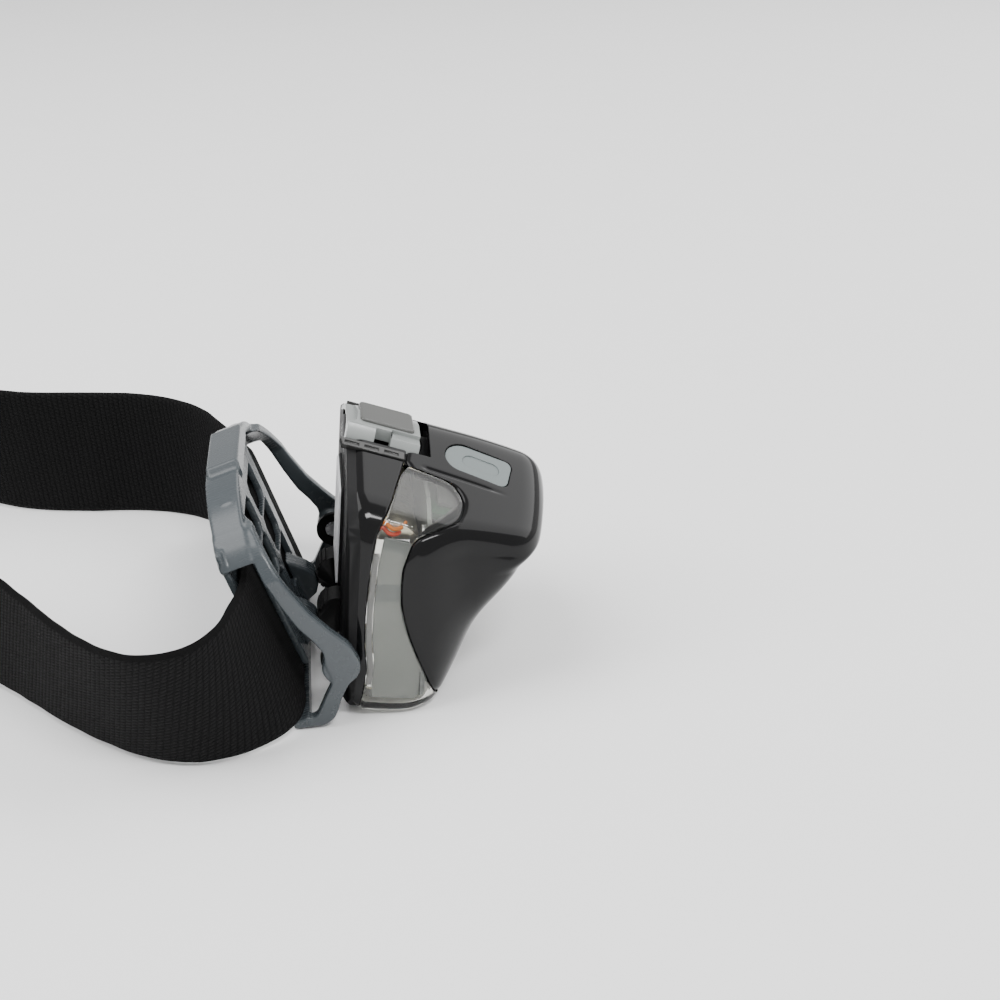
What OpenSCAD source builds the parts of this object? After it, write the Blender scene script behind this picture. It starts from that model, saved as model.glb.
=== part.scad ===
// Headlamp with an elastic head band, a tilting bracket and a battery lamp.
// Millimetres, +Z up, +X is the way the lamp shines, the bottom of the model is z = 0.

/* [Head band] */
// Width of the elastic webbing
band_w = 26; // [24:0.5:27]
// Thickness of the elastic webbing
band_t = 1.5; // [1.2:0.1:1.6]

/* [Bracket] */
// How far the bracket leans back at rest, in degrees
bracket_lean = 19.8; // [18:0.2:21]
// Outer half width over the two side arms
arm_y = 29.3; // [29:0.1:30]
// Thickness of a side arm
arm_t = 2.0; // [1.8:0.1:2.2]

/* [Lamp] */
// How far the lamp nods forward at rest, in degrees
lamp_pitch = 4.4; // [3.5:0.1:5]
// Height of the tilt axis over the table
pivot_z = 10.8; // [10.7:0.1:11.2]
// Wall thickness of the moulded shells
wall = 1.3; // [1.1:0.1:1.4]
// Radius of the tilt pins
pin_r = 1.6; // [1.4:0.1:1.8]
// Radial running clearance of a pin in its bore
run_gap = 0.05; // [0.03:0.01:0.08]

/* [Cells] */
// Diameter of a cell
cell_d = 10.2; // [10:0.1:10.2]
// Body length of a cell, without its nub
cell_body = 43.8; // [43:0.1:43.8]

/* [Buttons] */
// Length of a push button
btn_l = 11.6; // [10:0.1:12]
// Width of a push button
btn_w = 6.4; // [5.6:0.1:6.8]

/* [Hidden] */
$fn = 48;

// Moves the whole model so that the middle of its base is the origin.
shift = [69.9, -23.6, 0];

// ---------------------------------------------------------------- frames
module world() translate(shift) children();
// Bracket frame: n is forwards from the band's plane, s is down the plate; the tilt axis is at n = 7, s = 21.4.
module bracket_frame() world() translate([0, 0, pivot_z]) rotate([0, -bracket_lean, 0]) translate([-7, 0, 21.4]) children();
// Lamp frame: the tilt axis is its origin, x forwards, z up the lamp.
module lamp_frame() world() translate([0, 0, pivot_z]) rotate([0, lamp_pitch, 0]) children();

// A side-view outline (x, z) drawn through the whole width, or between two y values.
module side(pts, y0 = -40, y1 = 40) translate([0, y1, 0]) rotate([90, 0, 0]) linear_extrude(y1 - y0) polygon(pts);
// A front-view outline (y, z) drawn along x.
module front(pts, x0 = -5, x1 = 45) translate([x0, 0, 0]) rotate([90, 0, 90]) linear_extrude(x1 - x0) polygon(pts);
// Mirror a child to both sides of the lamp.
module both() { children(); mirror([0, 1, 0]) children(); }
// A round bar along y.
module ybar(r, y0, y1) translate([0, y1, 0]) rotate([90, 0, 0]) cylinder(r = r, h = y1 - y0);
function flip(p) = [for (i = [len(p) - 1:-1:0]) [-p[i][0], p[i][1]]];
function bez(a, b, c, n) = [for (i = [0:n]) let (t = i / n) a * (1 - t) * (1 - t) + b * 2 * t * (1 - t) + c * t * t];

// ---------------------------------------------------------------- lamp form
roof_k = 0.40;   // side slope of the roof
roof_a = 14.04;  // forward slope of the roof, degrees
ridge_z = 35.6;
// Half front view of the roof, from the ridge out and down, square to the roof's forward slope.
half_roof = concat([[0, ridge_z - 0.5], [1.5, ridge_z - 0.85], [19, ridge_z - roof_k * 19 - 0.2]],
  bez([22, ridge_z - 9.2], [25.4, ridge_z - 10.6], [26.4, ridge_z - 16], 5), [[32, 4], [32, -24]]);
function roofed(p) = [for (q = p) [q[0], q[1] * cos(roof_a)]];
// Half front view of the walls, from the top down, and the round lower corners.
half_walls = concat([[24.6, 50], [25.3, 22], [26.0, 8], [26.6, -4]], bez([26.7, -6], [26.7, -9.95], [23, -9.95], 4));
function mirrored(p) = concat(p, [for (i = [len(p) - 1:-1:0]) if (p[i][0] > 0) [-p[i][0], p[i][1]]]);
side_outline = concat([[0.2, -7.2], [0.2, 33.6], [1.2, 38]], [[26, 38]],
  bez([27, 28.9], [33.6, 27.2], [34.4, 21.5], 6), [[34.3, 18.5], [33.5, 16.5], [17.4, -8.2]],
  bez([17.0, -8.8], [15.6, -9.9], [12, -9.88], 3), [[2.5, -9.3]]);
plan_half = concat([[0.2, 0]], bez([0.2, 22.6], [0.2, 26.7], [4.2, 26.7], 4), [[16, 26.6], [24, 25.4]],
  bez([26, 24.9], [31.4, 23.4], [32.4, 17], 5), [[33.8, 9], [34.4, 0]]);
plan_outline = concat(plan_half, [for (i = [len(plan_half) - 2:-1:1]) [plan_half[i][0], -plan_half[i][1]]]);

module roof_solid(o = 0) rotate([0, roof_a, 0]) translate([-14, 0, 0]) rotate([90, 0, 90])
  linear_extrude(62) offset(delta = -o) polygon(mirrored(roofed(half_roof)));
module lamp_form(o = 0) intersection() {
  translate([0, 40, 0]) rotate([90, 0, 0]) linear_extrude(80) offset(delta = -o) polygon(side_outline);
  roof_solid(o);
  translate([-5, 0, 0]) rotate([90, 0, 90]) linear_extrude(50) offset(delta = -o) polygon(mirrored(half_walls));
  translate([0, 0, -20]) linear_extrude(70) offset(delta = -o) polygon(plan_outline);
}
// Seam between the battery shell and the front unit, bottom to top.
seam = [[3.6, -12], [3.6, -7.4], [4.1, -4.7], [4.3, -1.6], [3.8, 2.8], [3.8, 8.4], [4.2, 16], [5.0, 21.6], [6.8, 25], [9.6, 28.8], [10.9, 31], [11.3, 40]];
function shifted(p, d) = [for (q = p) [q[0] + d, q[1]]];
function rev(p) = [for (i = [len(p) - 1:-1:0]) p[i]];
behind_seam = concat([[-2, -12]], seam, [[-2, 40]]);
// Rear edge of the hood, bottom to top: cheek, wing, then up to the seam.
hood_edge = [[17.0, -12], [16.4, -8.0], [14.2, -3.4], [12.3, 0.6], [10.7, 4.6], [9.4, 9.6], [9.3, 15.4], [10.3, 19.2],
  [11.2, 20.8], [12.8, 21.7], [15.2, 22.3], [18.2, 22.9], [19.4, 23.9], [19.2, 25.0], [17.4, 26.3], [13.8, 27.3], [9.9, 28.4]];
hood_area = concat(hood_edge, [[9.9, 28.9], [11.1, 31], [11.5, 40], [50, 40], [50, -12]]);
lens_area = concat(shifted([for (i = [0:8]) seam[i]], 0.15), [[9.3, 28.2]], rev(shifted(hood_edge, -0.12)));

// Window frame: x out of the window, z up along it, its top edge at z = 0 and its bottom at z = -29.5.
module window_frame() translate([33.5, 0, 16.5]) rotate([0, 33.1, 0]) children();
beam_z = -12.2;   // beam axis, down the window from its top
door_x = 2.3;     // hinge of the battery door
door_z = -7.9;
door_r = 0.55;
latch_x = 12.4;   // hinge of the latch
latch_z = 29.0;
cell_x = 7.3;
cell_zs = [-2.95, 7.35, 17.65];
// Button frame on the near slope of the roof: z out of the roof.
module button_frame() rotate([0, roof_a, 0]) translate([15.35, -6.4, 31.45]) rotate([21.2, 0, 0]) rotate([0, 0, -9]) children();
// A slot outline, round at one end and squarer at the other.
function slot2d(l, w) = concat(
  [for (i = [0:12]) [-l / 2 + w / 2 + w / 2 * cos(90 + i * 15), w / 2 * sin(90 + i * 15)]],
  [for (i = [0:4]) [l / 2 - 1.4 + 1.4 * cos(-90 + i * 22.5), -w / 2 + 1.4 + 1.4 * sin(-90 + i * 22.5)]],
  [for (i = [0:4]) [l / 2 - 1.4 + 1.4 * cos(i * 22.5), w / 2 - 1.4 + 1.4 * sin(i * 22.5)]]);
module slot3d(l, w, z0, z1) translate([0, 0, z0]) linear_extrude(z1 - z0) polygon(slot2d(l, w));
module above_roof(o, y, x0, x1) difference() {
  translate([x0, -y, 20]) cube([x1 - x0, 2 * y, 25]);
  roof_solid(o);
}
module roof_layer(o0, o1, y, x0, x1) intersection() {
  difference() { roof_solid(o0); roof_solid(o1); }
  translate([x0, -y, 18]) cube([x1 - x0, 2 * y, 25]);
}

// ---------------------------------------------------------------- battery half of the lamp
module rear_shell() color([0.05, 0.05, 0.055]) lamp_frame() difference() {
  union() {
    intersection() {
      difference() { lamp_form(0); lamp_form(wall); }
      side(behind_seam);
    }
    intersection() { roof_layer(1.1, 3.1, 9.4, 1.0, 11.2); lamp_form(0.2); side(behind_seam); }
    both() {
      translate([0, 0, 0]) ybar(3.3, 24.7, 26.05);
      side([[0, -3.3], [2, -3.3], [2, 3.3], [0, 3.3]], 24.7, 26.05);
      ybar(3.3, 5.6, 10.4);
      for (i = [0:7]) rotate([0, -130 - i * 16, 0]) translate([3.0, 5.6, -0.35]) cube([0.6, 4.8, 0.7]);
      side([[-0.2, -3.2], [0.8, -3.2], [0.8, 3.2], [-0.2, 3.2]], 5.6, 10.4);
      translate([door_x, 0, door_z]) ybar(1.25, 14, 21);
    }
    translate([door_x, 0, door_z]) ybar(1.25, -3, 3);
    for (z = [2.3, 13.0]) side([[1.3, z - 0.4], [2.4, z - 0.4], [2.4, z + 0.4], [1.3, z + 0.4]], -24, 24);
  }
  both() {
    ybar(pin_r + run_gap, 24.6, 30);
    translate([-3.6, 0, -1.4]) ybar(9.6, 26.1, 30);
    side([[0.7, -13], [4.2, -13], [4.2, -6.4], [0.7, -6.4]], 2.9, 14.1);
  }
  // the lower corner is rolled round the hinge so that the front can swing down
  difference() {
    side([[door_x, -13], [4.6, -13], [4.6, door_z], [door_x, door_z]], -30, 30);
    translate([door_x, 0, door_z]) ybar(1.42, -31, 31);
  }
  translate([door_x, 0, door_z]) ybar(door_r + run_gap, -22, 22);
  for (z = cell_zs) translate([cell_x, 0, z]) ybar(cell_d / 2 + 0.1, -23.4, 23.4);
  above_roof(1.95, 8.05, -2, 14);
}
module door_pin() color("silver") lamp_frame() translate([door_x, 0, door_z]) ybar(door_r, -20.9, 20.9);
module cell(flipped) mirror([0, flipped ? 1 : 0, 0]) {
  ybar(cell_d / 2, -22, -22 + cell_body);
  ybar(1.9, -22 + cell_body - 0.1, 22.6);
}
module cells() color([0.75, 0.72, 0.62]) lamp_frame() for (i = [0:2]) translate([cell_x, 0, cell_zs[i]]) cell(i % 2 == 1);
module contact_springs() color("silver") lamp_frame() for (i = [0:2]) translate([cell_x, 0, cell_zs[i]]) mirror([0, i % 2, 0])
  for (k = [0:1]) translate([0, -22.3 - k * 0.5, 0]) rotate([90, 0, 0]) rotate_extrude() translate([2.3 - k * 0.45, 0]) circle(r = 0.24, $fn = 16);
module contact_plates() color("silver") lamp_frame() for (i = [0:2]) for (m = [0, 1]) mirror([0, m, 0])
  translate([cell_x, 0, cell_zs[i]]) side([[-5.5, -2], [-3, -2], [-3, -3.4], [3, -3.4], [3, 3], [-3, 3], [-3, 2], [-5.5, 2]], 23.1, 23.35);
module rear_label() color("white") lamp_frame() translate([-0.02, -8, 8]) cube([0.2, 16, 17]);

// ---------------------------------------------------------------- front half of the lamp
module front_shell() color([0.05, 0.05, 0.055]) lamp_frame() difference() {
  union() {
    intersection() {
      difference() { lamp_form(0); lamp_form(1.5); }
      side(hood_area);
    }
    intersection() { roof_layer(1.2, 3.4, 9.4, 11.6, 15.2); lamp_form(0.2); }
    both() intersection() {
      union() {
        translate([latch_x, 0, latch_z]) ybar(0.95, 1.5, 3.0);
        side([[latch_x - 0.9, latch_z], [latch_x - 0.7, latch_z - 2.2], [latch_x + 0.7, latch_z - 2.2], [latch_x + 0.9, latch_z]], 1.5, 3.0);
      }
      roof_solid(0.2);
    }
  }
  difference() {
    above_roof(2.35, 8.05, 8, 14.4);
    both() intersection() {
      union() {
        translate([latch_x, 0, latch_z]) ybar(0.95, 1.5, 3.0);
        side([[latch_x - 0.9, latch_z], [latch_x - 0.7, latch_z - 4], [latch_x + 0.7, latch_z - 4], [latch_x + 0.9, latch_z]], 1.5, 3.0);
      }
      translate([8, 0, 20]) cube([10, 10, 20]);
    }
  }
  both() {
    button_frame() slot3d(btn_l + 0.3, btn_w + 0.3, -6, 4);
    translate([latch_x, 0, latch_z]) ybar(1.15, 3.05, 4.95);
  }
  for (z = cell_zs) translate([cell_x, 0, z]) ybar(cell_d / 2 + 0.1, -22.8, 22.8);
  translate([latch_x, 0, latch_z]) ybar(0.5 + run_gap, -5.4, 5.4);
  window_frame() rotate([90, 0, 90]) translate([0, 0, -3]) linear_extrude(8)
    polygon(mirrored(concat([[0, -2.8]], bez([12, -2.8], [17.2, -2.8], [18.4, -8], 4), bez([20.2, -22], [20.8, -26.8], [16.5, -26.8], 4), [[0, -26.8]])));
}
module lens_body() color([0.85, 0.88, 0.86, 0.5]) lamp_frame() difference() {
  union() {
    intersection() {
      difference() { lamp_form(0.1); lamp_form(1.5); }
      side(lens_area);
    }
    intersection() {
      side([[32.08, 17.43], [30.99, 18.14], [14.3, -7.3], [14.3, -9.4], [15.6, -9.4], [15.7, -7.7]]);
      lamp_form(1.65);
    }
    intersection() {
      side([[13.6, -9.6], [15.7, -9.6], [15.5, -7.2], [14.8, -6.6]], -22, 22);
      lamp_form(0.1);
    }
    both() {
      translate([door_x, 0, door_z]) ybar(1.15, 3.15, 13.85);
      side([[door_x, door_z - 0.9], [4.6, -9.6], [4.6, -8.6], [3.0, -7.4]], 3.15, 13.85);
    }
  }
  translate([door_x, 0, door_z]) {
    ybar(door_r + run_gap, -22, 22);
    ybar(1.52, -2.95, 2.95);
    both() ybar(1.52, 14.05, 30);
  }
  translate([6, -9.75, 24.5]) cube([9.8, 19.5, 8]);
  for (z = cell_zs) translate([cell_x, 0, z]) ybar(cell_d / 2 + 0.1, -22.8, 22.8);
}
module inner_frame() color([0.45, 0.46, 0.47]) lamp_frame() difference() {
  union() {
    intersection() {
      union() {
        side([[13.2, -7.2], [13.95, -6.2], [13.95, 24.1], [13.2, 24.1]]);
        both() side(concat(shifted([for (i = [2:7]) seam[i]], 1.3), [[9.2, 21.6], [13.2, 19], [13.4, -6.5], [12.4, -8.0], [5.4, -8.0]]), 23.55, 24.2);
      }
      lamp_form(1.65);
    }
    both() for (z = [-1, 19.5]) translate([13.3, 18, z]) rotate([0, 90, 0]) cylinder(r = 1.6, h = 2.6);
  }
  both() for (z = [-1, 19.5]) translate([12, 18, z]) rotate([0, 90, 0]) cylinder(r = 0.8, h = 5);
}
module seam_gasket() color([0.2, 0.2, 0.2]) lamp_frame() intersection() {
  difference() { lamp_form(1.55); lamp_form(2.15); }
  side(concat(shifted([for (i = [1:9]) seam[i]], 0.3), rev(shifted([for (i = [1:9]) seam[i]], 1.1))));
  translate([0, -30, -5]) cube([40, 60, 23]);
}
module frame_screws() color("silver") lamp_frame() both() for (z = [-1, 19.5]) translate([12.56, 18, z]) rotate([0, 90, 0]) {
  difference() {
    cylinder(r = 1.4, h = 0.62);
    for (a = [0, 90]) rotate([0, 0, a]) translate([-0.9, -0.2, -0.1]) cube([1.8, 0.4, 0.45]);
  }
  cylinder(r = 0.74, h = 3.2);
}
module reflector() color([0.85, 0.86, 0.88]) lamp_frame() window_frame() translate([0, 0, beam_z]) rotate([0, 90, 0])
  rotate_extrude() polygon(concat(
    [for (i = [0:10]) let (t = i / 10) [2.5 + 6.6 * sqrt(t), -9.8 + 6.0 * t]],
    [for (i = [10:-1:0]) let (t = i / 10) [3.1 + 6.7 * sqrt(t), -9.8 + 6.0 * t]]));
module main_led() color([0.95, 0.93, 0.75]) lamp_frame() window_frame() translate([-10.55, 0, beam_z]) {
  translate([0, -1.7, -1.7]) cube([0.7, 3.4, 3.4]);
  intersection() { translate([0.55, 0, 0]) sphere(r = 1.45); translate([0.55, -2, -2]) cube([3, 4, 4]); }
}
module led_board() color([0.9, 0.9, 0.88]) lamp_frame() window_frame() translate([-11.45, 0, beam_z]) rotate([0, 90, 0]) cylinder(r = 4.6, h = 0.85);
module heat_spreader() color([0.7, 0.71, 0.73]) lamp_frame() window_frame() translate([-12.5, 0, beam_z]) rotate([0, 90, 0]) cylinder(r = 4.1, h = 1.0);
module front_bezel() color([0.25, 0.26, 0.27]) lamp_frame() difference() {
  intersection() {
    window_frame() translate([-4.0, -24, -27.6]) cube([0.7, 48, 26.4]);
    lamp_form(1.75);
  }
  window_frame() {
    translate([-6, 0, beam_z]) rotate([0, 90, 0]) cylinder(r = 9.9, h = 5);
    both() translate([-6, 14.5, -19.5]) rotate([0, 90, 0]) cylinder(r = 2.6, h = 5);
  }
}
module aux_leds() color([0.95, 0.95, 0.9]) lamp_frame() window_frame() both() translate([-7.5, 14.5, -19.5]) rotate([0, 90, 0]) {
  cylinder(r = 1.5, h = 2.6);
  translate([0, 0, 2.6]) sphere(r = 1.5);
  cylinder(r = 2.3, h = 0.9);
}
module main_board() color([0.1, 0.35, 0.2]) lamp_frame() rotate([0, roof_a, 0]) translate([8.9, -14, 23.1]) cube([10.4, 28, 1]);
module tact_switches() color([0.15, 0.15, 0.15]) lamp_frame() rotate([0, roof_a, 0]) both() translate([13.6, -4.3, 24.15]) {
  translate([-2, -2, 0]) cube([4, 4, 1.5]);
  cylinder(r = 0.9, h = 1.9);
}
module button_membrane() color([0.3, 0.3, 0.3]) lamp_frame() difference() {
  intersection() { roof_layer(4.3, 4.8, 12, 15.5, 28); lamp_form(1.7); }
  both() button_frame() cylinder(r = 1.6, h = 20, center = true);
}
module battery_wires() lamp_frame() {
  color([0.8, 0.15, 0.08]) translate([5.9, -22.65, 21.6]) rotate([0, 90 + roof_a, 0]) cylinder(r = 0.33, h = 6.8, $fn = 16);
  color([0.9, 0.4, 0.12]) translate([6.6, -22.36, 22.3]) rotate([0, 90 + roof_a, 0]) cylinder(r = 0.33, h = 6.6, $fn = 16);
}

// ---------------------------------------------------------------- buttons and latch
module button_part() {
  difference() {
    slot3d(btn_l, btn_w, -1.7, 0.35);
    translate([0.6, 0, 0.2]) slot3d(btn_l - 5, btn_w - 3.4, 0, 1);
  }
  slot3d(btn_l + 1.6, btn_w + 1.4, -2.5, -1.7);
  translate([0, 0, -4.6]) cylinder(r = 1.2, h = 2.4);
}
module near_button() color([0.62, 0.66, 0.65]) lamp_frame() button_frame() button_part();
module far_button() color([0.62, 0.66, 0.65]) lamp_frame() mirror([0, 1, 0]) button_frame() button_part();
module top_latch() color([0.72, 0.74, 0.73]) lamp_frame() difference() {
  union() {
    difference() {
      intersection() { lamp_form(0); translate([-0.5, -7.9, 22]) cube([13.6, 15.8, 20]); }
      roof_solid(1.8);
      above_pad();
      both() translate([5.4, 5.6, 24]) cube([2.8, 4, 16]);
      // pocket over the front shell's two hinge ears
      both() intersection() { roof_solid(0.65); translate([latch_x - 1.3, 1.3, 24]) cube([4, 1.85, 10]); }
    }
    both() intersection() {
      union() {
        translate([latch_x, 0, latch_z]) ybar(1.0, 3.15, 4.85);
        side([[latch_x - 1, latch_z], [latch_x + 1, latch_z], [latch_x + 0.65, 40], [latch_x - 1, 40]], 3.15, 4.85);
      }
      roof_solid(0.8);
    }
  }
  translate([latch_x, 0, latch_z]) ybar(0.5 + run_gap, -5.4, 5.4);
}
module above_pad() difference() { translate([1.0, -3.05, 20]) cube([10.0, 6.1, 25]); roof_solid(0.8); }
module latch_pad() color([0.06, 0.06, 0.065]) lamp_frame() intersection() {
  roof_layer(-0.25, 0.75, 3, 1.05, 10.95);
  translate([0, -3, 20]) cube([20, 6, 25]);
}
module latch_pin() color("silver") lamp_frame() translate([latch_x, 0, latch_z]) ybar(0.5, -4.8, 4.8);

// ---------------------------------------------------------------- tilt bracket
arm_front = [[2.6, 5], [2.8, 3.7], [3.4, 0.9], [4.6, -4.9], [6.1, -10.2], [8.0, -14.4], [9.7, -17.6], [10.1, -19.2], [9.9, -20.9], [8.7, -22.9], [6.6, -25.0], [4.9, -26.7], [3.8, -28.3], [2.6, -29.6], [0.6, -30.2], [-4, -28.7]];
arm_back = [[-4, -27.6], [0.1, -28.0], [2.7, -25.2], [5.0, -22.9], [4.9, -19.6], [5.4, -17.4], [4.6, -14.7], [3.4, -12.0], [2.4, -7.4], [1.6, -2.4], [1.2, 1.2], [-4, 1.2], [-4, 5]];
// Half outline of the arch over the band, from the middle out and down.
arch_half = concat([[0, 10.2], [9, 10.1]], bez([14, 9.8], [26.5, 9.0], [29.3, 1.2], 8));
module yz(pts, n0, n1) translate([n0, 0, 0]) rotate([90, 0, 90]) linear_extrude(n1 - n0) polygon(pts);
module tilt_bracket() color([0.36, 0.4, 0.43]) bracket_frame() difference() {
  union() {
    // arch with its front rim
    difference() {
      yz(mirrored(arch_half), -4, 0.6);
      translate([-2.9, 0, 0]) yz(mirrored([for (p = arch_half) [p[0] * 0.93, p[1] - (p[0] < 20 ? 2.1 : 1.2)]]), 1.6, 8);
    }
    yz(mirrored([[0, 11.2], [8.4, 11.1], [9.6, 9.6], [9.6, 6], [0, 6]]), -3.6, 0.9);
    // arms
    both() {
      side(concat(arm_front, arm_back), arm_y - arm_t, arm_y);
      translate([7, 0, -21.4]) ybar(3.1, 26.3, arm_y - 0.5);
      // cheek over the band's slot, thick where it joins the arch
      side([[-4, 1.2], [2.4, 1.2], [1.4, 6], [-4, 6]], 25.4, arm_y - 0.2);
    }
    // rear plate against the forehead
    yz(mirrored([[0, 4], [27.0, 4], [27.3, 0], [27.3, -6], [25.6, -12], [24.4, -28.3], [0, -28.3]]), -4, -2.95);
    // front plate with windows
    yz(mirrored([[0, 8], [17.5, 8], [16.8, -6], [15.6, -25.4], [0, -25.4]]), -1.2, -0.1);
    // foot bar under the band
    side([[-4, -27.6], [-1.2, -27.6], [-1.2, -29.2], [-4, -28.7]], -arm_y, arm_y);
    // detent fingers
    both() side([[-0.6, -15.5], [2.4, -18.6], [3.35, -20.2], [3.3, -22.2], [2.2, -23.8], [-0.6, -25]], 5.8, 10.2);
  }
  for (i = [0:1], k = [0:2]) yz([for (q = [[3.0, 1.6], [12.2, 1.6], [12.2, -3.8], [10.8, -5.0], [3.0, -5.0], [1.8, -3.8], [1.8, 0.4]])
    [(i * 2 - 1) * q[0], q[1] + 0.4 - k * 7.4]], -2, 1);
  both() translate([7, 0, -21.4]) ybar(pin_r, 26, arm_y - 0.9);
}
module pivot_pins() color("silver") bracket_frame() both() translate([7, 0, -21.4]) ybar(pin_r, 24.9, arm_y - 0.9);

// ---------------------------------------------------------------- head band
// Each row: plan x and y of the band's middle, half the sideways offset of its top edge, and the height of its lower edge.
line_o = [-64, 66.4];       // where the straight stretch with the adjuster starts
line_d = [-0.96, 0.28];     // and the way it runs
function on_line(u) = line_o + line_d * u;
function row_line(u, z) = [on_line(u)[0], on_line(u)[1], 0, 0, z];
rows = concat(
  [for (u = [67, 58, 44]) row_line(u, 3.0)], [row_line(25, 3.0), row_line(13, 1.4)],
  [[-64, 66.4, 0.3, 0.8, 0.2], [-51, 64.6, 0.7, 1.4, 0], [-40.5, 63.2, 0.6, 0.8, 0], [-31.5, 59.6, 0, 0, 0], [-24.8, 53, -0.6, -0.4, 0.3],
   [-19.4, 43.5, -1.6, -0.8, 0.9], [-14.6, 34.5, -3.2, -0.5, 1.7], [-10.93, 27.5, -4.4, 0, 2.0], [-10.93, 18, -4.4, 0, 2.0], [-10.93, 0, -4.4, 0, 2.0],
   [-10.93, -18, -4.4, 0, 2.0], [-10.93, -27.5, -4.4, 0, 2.0], [-13.2, -33.6, -3.6, -1.0, 1.3], [-17.4, -38.6, -1.7, -2.6, 0.4], [-23.5, -41.3, -0.5, -3.9, 0], [-30.5, -40.2, -0.2, -4.8, 0],
   [-37.5, -35.2, 0.4, -5.2, 0], [-44.5, -27.8, 1.0, -5.0, 0], [-50.8, -19.8, 1.3, -4.4, 0], [-58.5, -10.8, 1.1, -3.2, 0],
   [-69.5, -1.6, 0.6, -1.8, 0], [-84, 5.6, 0.2, -0.8, 0], [-103, 12.6, 0, 0, 0], [-123, 20.4, 0, 0, 0], [-142, 29.2, 0, 0, 0],
   [-158, 39.6, 0, 0, 0], [-169, 51.6, 0, 0, 0], [-174.6, 65, 0, 0, 0.1], [-173.8, 78.4, 0, 0, 0.7], [-166.4, 88.6, 0, 0, 1.7]],
  [for (u = [94, 83]) row_line(u, 3.0)]);
function cr(a, b, c, d, t) = 0.5 * ((2 * b) + (c - a) * t + (2 * a - 5 * b + 4 * c - d) * t * t + (3 * b - a - 3 * c + d) * t * t * t);
nr = len(rows);
steps = 4;
fine = concat([for (i = [0:nr - 2], k = [0:steps - 1]) cr(rows[max(i - 1, 0)], rows[i], rows[i + 1], rows[min(i + 2, nr - 1)], k / steps)], [rows[nr - 1]]);
nf = len(fine);
function drop(r) = norm([r[2], r[3]]) * band_t / band_w;
function low(r) = [r[0] - r[2], r[1] - r[3], max(r[4], 0) + drop(r)];
function high(r) = [r[0] + r[2], r[1] + r[3], low(r)[2] + sqrt(band_w * band_w - 4 * (r[2] * r[2] + r[3] * r[3]))];
function unit(v) = v / norm(v);
function band_normal(i) = let (a = fine[max(i - 1, 0)], b = fine[min(i + 1, nf - 1)])
  unit(cross([b[0] - a[0], b[1] - a[1], 0], high(fine[i]) - low(fine[i])));
function band_ring(i) = let (n = band_normal(i) * band_t / 2, a = low(fine[i]), b = high(fine[i])) [a + n, b + n, b - n, a - n];
module band_sweep() polyhedron(points = [for (i = [0:nf - 1]) each band_ring(i)],
  faces = concat([[3, 2, 1, 0]], [[4 * nf - 4, 4 * nf - 3, 4 * nf - 2, 4 * nf - 1]],
    [for (i = [0:nf - 2], k = [0:3]) let (a = 4 * i + k, b = 4 * i + (k + 1) % 4) each [[a, b, a + 4], [b, b + 4, a + 4]]]));
// Straight stretch: local x along it, +y towards the inside of the loop.
module on_strap(u, z = 3.0) world() translate([on_line(u)[0], on_line(u)[1], z]) rotate([0, 0, atan2(line_d[1], line_d[0])]) children();
// A flat ribbon seen from above, along a path of [along, inwards] points.
function ribbon2d(p, t) = let (n = len(p), q = [for (i = [0:n - 1]) let (d = unit(p[min(i + 1, n - 1)] - p[max(i - 1, 0)])) [-d[1], d[0]] * t / 2])
  concat([for (i = [0:n - 1]) p[i] + q[i]], [for (i = [n - 1:-1:0]) p[i] - q[i]]);
function turn(c, r, a0, a1, n) = [for (i = [0:n]) c + r * [cos(a0 + (a1 - a0) * i / n), sin(a0 + (a1 - a0) * i / n)]];
bar_v = 1.95;
module head_band() color([0.05, 0.05, 0.05]) {
  world() band_sweep();
  // round the ring and back on the inside, towards the slider
  on_strap(0) linear_extrude(band_w) polygon(ribbon2d(concat([[66.5, 0], [69, 0]], turn([71, bar_v], bar_v, -90, 90, 8), [[69, 3.7], [65, 2.3], [62, 1.7], [53.1, 1.65]]), band_t - 0.1));
  // sewn end round the other bar of the ring
  on_strap(0) linear_extrude(band_w) polygon(ribbon2d(concat([[83.5, 0], [79, 0]], turn([77, bar_v], bar_v, 270, 90, 8), [[79, 3.7], [82.5, 2.1], [85, 1.6], [91, 1.55]]), band_t - 0.1));
}
module band_slider_fold() color([0.05, 0.05, 0.05]) on_strap(44) linear_extrude(band_w)
  polygon(ribbon2d(concat([[8.9, 1.65], [2, 1.65]], turn([-0.2, 3.25], 1.6, 270, 90, 8), [[2, 4.85], [3.4, 4.6]]), band_t - 0.1));
module band_slider() color([0.08, 0.08, 0.08]) on_strap(44) {
  for (u = [-8, 8]) translate([u - 1.3, -2.6, -2.5]) cube([2.6, 1.65, band_w + 5]);
  translate([-0.7, 2.75, -2.5]) cube([1.6, 1.0, band_w + 5]);
  for (z = [-2.5, band_w + 0.4]) translate([-9.3, -2.6, z]) cube([18.6, 6.55, 2.1]);
}
module band_ring_part() {
  for (u = [71, 77]) translate([u, bar_v, -2.4]) cylinder(r = 1.1, h = band_w + 4.8);
  for (z = [-2.5, band_w + 0.4]) translate([69.4, bar_v - 1.3, z]) cube([9.2, 2.6, 2.1]);
}
module band_ring_node() color([0.08, 0.08, 0.08]) on_strap(0) band_ring_part();

tilt_bracket();
head_band();
band_ring_node();  // band_ring
band_slider();
band_slider_fold();
pivot_pins();
rear_shell();
door_pin();
cells();
contact_springs();
contact_plates();
rear_label();
front_shell();
lens_body();
inner_frame();
seam_gasket();
reflector();
main_led();
led_board();
heat_spreader();
front_bezel();
aux_leds();
main_board();
tact_switches();
button_membrane();
battery_wires();
frame_screws();
near_button();
far_button();
top_latch();
latch_pad();
latch_pin();
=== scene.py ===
import math

import bmesh
import bpy
import numpy as np
from mathutils import Matrix, Vector

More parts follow.
